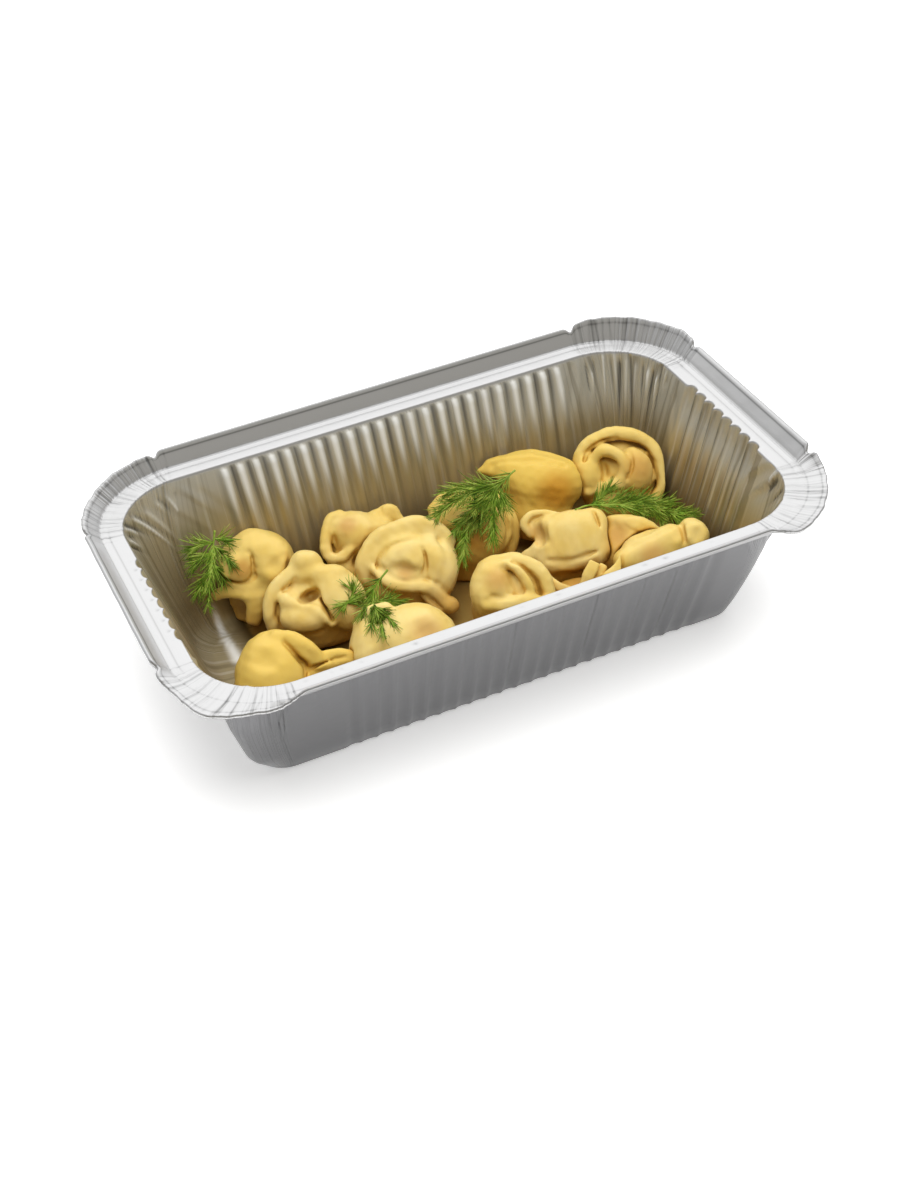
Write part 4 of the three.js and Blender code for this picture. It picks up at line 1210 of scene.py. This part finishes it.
def support(tree, at, right, up):
    """How far out the dough lies under a place of a sprig, or NO_DOUGH."""
    start = np.array(at) + right * AXES[0] + up * AXES[1] + RAY_START * AXES[2]
    hit = tree.ray_cast(Vector(start * MM), Vector(-AXES[2]), RAY_LENGTH)
    return NO_DOUGH if hit[0] is None else RAY_START - hit[3] / MM


def lay_on_dough(path, tree, at, clear):
    """Lifts a path so that it lies on the dough, smoothly."""
    heights = np.array([support(tree, at, r, u) for r, u, _ in path])
    heights = np.where(heights < path[:, 2] - 7, path[:, 2], heights + clear)
    rough = np.maximum(heights, path[:, 2] - 4)
    padded = np.pad(rough, 1, "edge")
    even = (padded[:-2] + 2 * padded[1:-1] + padded[2:]) / 4
    path[:, 2] = np.maximum(even, heights)
    return path


def build_sprig(name, tree, seed):
    spec = SPRIGS[name]
    random = np.random.default_rng(seed)
    mesh = {"points": [], "faces": [], "shade": []}
    for number, stalk in enumerate(spec["stalks"]):
        places = np.array([(r, u, 0.0) for r, u in stalk])
        length = np.linalg.norm(np.diff(places, axis=0), axis=1).sum()
        end = 1.0 if number == 0 else STALK_SHARE
        path = spline(places, np.linspace(0, end, max(4, int(length)) + 1))
        path = lay_on_dough(path, tree, spec["at"], 0.55 + 0.25 * random.random())
        thick = 0.40 if number == 0 else 0.28
        add_strand(mesh, path, np.linspace(thick, 0.16, len(path)), 5, 0.6)
        add_leaves(mesh, path, length, spec, number, random)
    world = np.array(spec["at"]) + np.array(mesh["points"]) @ AXES
    obj = make_object(name + "_leaves", world, mesh["faces"])
    add_attribute(obj, "shade", mesh["shade"])
    return obj


def swung(heading, angle, rise):
    """A heading swung round in the plane of the face, with a new rise out of it."""
    c, s = math.cos(angle), math.sin(angle)
    return np.array([c * heading[0] - s * heading[1], s * heading[0] + c * heading[1], rise])


def add_leaves(mesh, path, length, spec, number, random):
    """Fine leaves in pairs along a stalk, shorter towards its tip."""
    count = max(3, int(length / LEAF_GAP))
    for i in range(count + 1):
        share = (i + 0.3 * random.random()) / (count + 0.3)
        if number == 0 and share < 0.18:
            continue
        position = share * (len(path) - 1)
        k = min(int(position), len(path) - 2)
        start = path[k] + (path[k + 1] - path[k]) * (position - k)
        heading = unit(path[k + 1] - path[k])
        for way in (-1, 1):
            angle = way * math.radians(random.uniform(4, 46)) * (1 - 0.35 * share)
            direction = unit(swung(heading, angle, heading[2] * 0.6))
            leaf = spec["leaf"] * (1 - 0.35 * share) * random.uniform(0.5, 1.1)
            add_leaf(mesh, start, direction, leaf, LEAF_RADIUS, random)
            if random.random() < 0.45:
                fork = angle + way * math.radians(random.uniform(14, 34))
                forked = swung(heading, fork, direction[2])
                add_leaf(mesh, start + direction * leaf * 0.3, forked, leaf * 0.5, 0.8 * LEAF_RADIUS, random)


def dough_tree(objects):
    """All the dumplings' faces, ready for rays."""
    points, faces = [], []
    for obj in objects:
        base = len(points)
        points += [vertex.co.copy() for vertex in obj.data.vertices]
        faces += [[base + i for i in polygon.vertices] for polygon in obj.data.polygons]
    return BVHTree.FromPolygons(points, faces)


# ------------------------------------------------------------------ materials

RIM = (0.80, 0.80, 0.80, 1)
# The outside is the foil's dull side, darkened further by painted shade of the floor it mirrors.
RIM_UNDER = (0.55, 0.55, 0.55, 1)
OUTSIDE = (0.18, 0.18, 0.185, 1)
UPPER_WALL = (0.64, 0.62, 0.54, 1)
# Painted reflection of the dough low on the inner wall, painted shade by the food, and a painted amber glow
# of the dough on the floor among it.
LOWER_WALL_DOUGH_REFLECTION = (0.45, 0.37, 0.21, 1)
SHADE_BY_THE_FOOD = (0.15, 0.098, 0.028, 1)
PAINTED_FOOD_GLOW = (0.62, 0.42, 0.12, 1)
# Painted reflections: dark and light streaks down the inner wall.
DARK_STREAK = (0.13, 0.095, 0.04, 1)
LIGHT_STREAK = (0.85, 0.81, 0.70, 1)
PAINTED_HIGHLIGHT = (0.95, 0.95, 0.92, 1)
PAINTED_FOLD_SHADE = (0.10, 0.10, 0.10, 1)


def srgb(red, green, blue):
    """A colour seen on screen, 0 to 255, as the light it stands for."""
    channels = [c / 255 for c in (red, green, blue)]
    return tuple(c / 12.92 if c <= 0.04045 else ((c + 0.055) / 1.055) ** 2.4 for c in channels) + (1.0,)


class Net:
    """A node tree with short ways to add to it. Values are numbers, colours or other nodes' outputs."""

    def __init__(self, owner):
        owner.use_nodes = True
        self.nodes = owner.node_tree.nodes
        self.links = owner.node_tree.links

    def feed(self, socket, value):
        if isinstance(value, bpy.types.NodeSocket):
            self.links.new(value, socket)
        else:
            socket.default_value = value

    def add(self, kind, values, output=0, **settings):
        """The output of a new node of a kind, with some settings and values for its inputs."""
        node = self.nodes.new("ShaderNode" + kind)
        for name, setting in settings.items():
            setattr(node, name, setting)
        for name, value in values.items():
            self.feed(node.inputs[name], value)
        return node.outputs[output]

    def attribute(self, name):
        return self.add("Attribute", {}, "Fac", attribute_name=name)

    def maths(self, operation, first, second):
        return self.add("Math", {0: first, 1: second}, operation=operation)

    def times(self, first, second):
        return self.maths("MULTIPLY", first, second)

    def mix(self, factor, first, second):
        return self.add("Mix", {"Factor": factor, 6: first, 7: second}, 2, data_type="RGBA")

    def ramp(self, value, low, high, top=1.0):
        """From 0 to top, smoothly, where a value goes from low to high."""
        values = {"Value": value, "From Min": low, "From Max": high, "To Max": top}
        return self.add("MapRange", values, "Result", interpolation_type="SMOOTHSTEP")

    def noise(self, scale, detail):
        """Noise through the whole object."""
        where = self.add("TexCoord", {}, "Object")
        return self.add("TexNoise", {"Vector": where, "Scale": scale, "Detail": detail}, "Fac")

    def line_noise(self, scale, detail):
        """Noise along the way round the tray only, so that it runs in lines down the walls."""
        values = {"W": self.attribute("around"), "Scale": scale, "Detail": detail}
        return self.add("TexNoise", values, "Fac", noise_dimensions="1D")

    def bump(self, height, strength, distance):
        return self.add("Bump", {"Height": height, "Strength": strength, "Distance": distance * MM})


def new_material(name):
    material = bpy.data.materials.new(name)
    net = Net(material)
    return material, net, net.nodes["Principled BSDF"].inputs


def foil_colour(net, below, metal, tint, height):
    """Painted reflection of the dough low down inside, deepening to painted shade by the food, a painted
    amber glow on the floor among the food, and painted streaks of reflection further up.
    """
    warm = net.mix(net.ramp(tint, 0, 0.5), UPPER_WALL, LOWER_WALL_DOUGH_REFLECTION)
    warm = net.mix(net.ramp(tint, 0.5, 1), warm, SHADE_BY_THE_FOOD)
    among = net.times(net.ramp(tint, 0.9, 1), net.ramp(height, 7, 1, 0.85))
    warm = net.mix(among, warm, PAINTED_FOOD_GLOW)
    # Painted reflection: streaks of darker and lighter colour run down the inner wall.
    streaks = net.line_noise(0.3, 3)
    upper = net.times(metal, net.ramp(tint, 0.9, 0.3))
    warm = net.mix(net.times(net.ramp(streaks, 0.47, 0.33, 0.4), upper), warm, DARK_STREAK)
    warm = net.mix(net.times(net.ramp(streaks, 0.54, 0.7, 0.35), upper), warm, LIGHT_STREAK)
    return net.mix(below, RIM, warm)


def foil_material():
    """Bright pressed foil: dull outside with painted shade, painted shade in its folds, painted highlights
    on its crests, and finely creased at the corners.
    """
    material, net, shader = new_material("foil")
    names = ("inside", "height", "crimp", "tint", "shade")
    inside, height, crimp, tint, shade = (net.attribute(name) for name in names)
    below = net.ramp(height, LEDGE_HEIGHT, LEDGE_HEIGHT - 1)
    metal = net.times(below, inside)
    # Painted highlight where the shade is below 0, also made less metallic so that it lights up more.
    painted_highlight = net.ramp(shade, 0, -1, 0.85)
    matt = net.maths("ADD", net.ramp(metal, 0, 1, 0.3), net.times(painted_highlight, 0.4))
    net.feed(shader["Metallic"], net.maths("SUBTRACT", 0.94, matt))
    # Outside: darker than dull foil alone, as painted shade.
    dull = net.mix(below, RIM_UNDER, OUTSIDE)
    colour = net.mix(inside, dull, foil_colour(net, below, metal, tint, height))
    colour = net.mix(painted_highlight, colour, PAINTED_HIGHLIGHT)
    # Painted shade: fine dark lines in the crimped corners, added to the painted shade of the folds, the hem
    # and the outside.
    lines = net.line_noise(1.1, 2)
    fold = net.maths("ADD", net.times(net.ramp(lines, 0.5, 0.66, 0.3), crimp), shade)
    colour = net.mix(net.ramp(fold, 0, 1, 0.78), colour, PAINTED_FOLD_SHADE)
    net.feed(shader["Base Color"], colour)
    net.feed(shader["Roughness"], net.maths("ADD", net.ramp(metal, 0, 1, 0.14), 0.3))
    grain = net.bump(net.noise(260, 3), 0.25, 0.25)
    creases = net.bump(lines, crimp, 0.35)
    net.feed(creases.node.inputs["Normal"], grain)
    net.feed(shader["Normal"], creases)
    return material


def dough_material():
    """Boiled egg dough: browner over its filling, with painted shade in its creases, in the gaps between
    dumplings and low down.
    """
    material, net, shader = new_material("dough")
    names = ("tone", "filling", "painted_crease_shade", "painted_gap_shade", "low")
    tone, filling, painted_crease_shade, painted_gap_shade, low = (net.attribute(name) for name in names)
    tone = net.ramp(tone, 0, 1)
    colour = net.mix(net.ramp(net.noise(90, 3), 0.35, 0.68), srgb(233, 209, 136), srgb(225, 195, 110))
    # On deep-toned dumplings the filling's colour turns amber: partly filling showing through, partly
    # painted shade.
    meat = net.mix(tone, srgb(200, 156, 92), srgb(190, 124, 4))
    for share, tint in (
        (tone, srgb(222, 188, 88)),
        (net.ramp(filling, 0.1, 1.0, 0.72), meat),
        # Painted shade in creases and in the gaps between dumplings, darkest deep in the gaps.
        (net.ramp(painted_crease_shade, 0.25, 1.2, 0.55), srgb(208, 162, 64)),
        (net.ramp(painted_gap_shade, 0.3, 1.1, 0.42), srgb(194, 148, 58)),
        (net.ramp(painted_gap_shade, 1.0, 1.45, 0.75), srgb(116, 76, 18)),
        # Painted shade low down in the tray.
        (net.ramp(low, 0, 1, 0.75), srgb(178, 128, 44)),
    ):
        colour = net.mix(share, colour, tint)
    net.feed(shader["Base Color"], colour)
    shader["Roughness"].default_value = 0.42
    shader["Specular IOR Level"].default_value = 0.4
    shader["Subsurface Weight"].default_value = 0.2
    shader["Subsurface Radius"].default_value = (1.0, 0.8, 0.4)
    shader["Subsurface Scale"].default_value = 2.2 * MM
    net.feed(shader["Normal"], net.bump(net.noise(600, 3), 0.2, 0.2))
    return material


def herb_material():
    """Fresh dill, from dark to light leaf by leaf."""
    material, net, shader = new_material("herb")
    share = net.ramp(net.noise(220, 2), 0.38, 0.62)
    dark = net.mix(share, srgb(72, 102, 14), srgb(96, 124, 24))
    light = net.mix(share, srgb(134, 168, 52), srgb(176, 198, 88))
    leaf = net.ramp(net.attribute("shade"), 0.1, 1)
    net.feed(shader["Base Color"], net.mix(leaf, dark, light))
    shader["Roughness"].default_value = 0.5
    shader["Subsurface Weight"].default_value = 0.1
    shader["Subsurface Scale"].default_value = 0.5 * MM
    return material


def floor_material():
    material, _, shader = new_material("backdrop")
    shader["Base Color"].default_value = (0.93, 0.93, 0.93, 1)
    shader["Roughness"].default_value = 0.9
    shader["Specular IOR Level"].default_value = 0.0
    shader["Emission Color"].default_value = (1, 1, 1, 1)
    shader["Emission Strength"].default_value = 0.44
    return material


# ------------------------------------------------------------------ floor, light and camera

FLOOR_HALF = 4000
FLOOR_HEIGHT = -0.2


def make_floor():
    ways = ((-1, -1), (1, -1), (1, 1), (-1, 1))
    corners = [(x * FLOOR_HALF, y * FLOOR_HALF, FLOOR_HEIGHT) for x, y in ways]
    floor = make_object("floor", corners, [(0, 1, 2, 3)], smooth=False)
    floor.data.materials.append(floor_material())


def make_world():
    """A studio that is bright above and behind the tray and darker on the camera's side."""
    world = bpy.data.worlds.new("studio")
    bpy.context.scene.world = world
    net = Net(world)
    where = net.add("TexCoord", {}, "Generated")
    behind = net.ramp(net.add("SeparateXYZ", {"Vector": where}, "Y"), -0.5, 0.45)
    colour = net.mix(behind, (0.30, 0.288, 0.262, 1), (0.42, 0.42, 0.42, 1))
    towards = net.add("VectorMath", {0: where, 1: (0.25, 0.71, 0.66)}, "Value", operation="DOT_PRODUCT")
    colour = net.mix(net.ramp(towards, 0.6, 0.88), colour, (1.1, 1.1, 1.1, 1))
    background = net.nodes["Background"].inputs
    net.feed(background["Color"], colour)
    background["Strength"].default_value = 1.0


def make_area_light(name, place, target, size, power):
    light = bpy.data.lights.new(name, "AREA")
    light.shape = "DISK"
    light.size = size
    light.energy = power
    obj = place_object(name, light)
    obj.location = place
    direction = Vector(target) - Vector(place)
    obj.rotation_euler = direction.to_track_quat("-Z", "Y").to_euler()
    obj.visible_glossy = False


def make_camera():
    camera = bpy.data.cameras.new("camera")
    camera.lens = LENS
    camera.sensor_width = SENSOR
    obj = place_object("camera", camera)
    place = (CAMERA_TARGET + CAMERA_DISTANCE * AXES[2]) * MM
    turn = Matrix(AXES.T.tolist()).to_4x4()
    obj.matrix_world = Matrix.Translation(Vector(place)) @ turn
    bpy.context.scene.camera = obj


def finish_piece(obj, node, material):
    obj.data.materials.append(material)
    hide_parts(node)
    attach(obj, "root")


def build_scene():
    dumplings = build_dumplings()
    dough = dough_material()
    for name, obj in dumplings.items():
        finish_piece(obj, name, dough)
    finish_piece(build_tray(), "tray", foil_material())
    tree = dough_tree(dumplings.values())
    herb = herb_material()
    for i, name in enumerate(SPRIGS):
        finish_piece(build_sprig(name, tree, HERB_SEED + i), name, herb)
    make_floor()
    make_world()
    make_area_light("soft_top", (0.04, -0.24, 1.1), (0, 0, 0), 1.1, 13.0)
    make_camera()
    bpy.context.scene.view_settings.view_transform = "Standard"


build_scene()
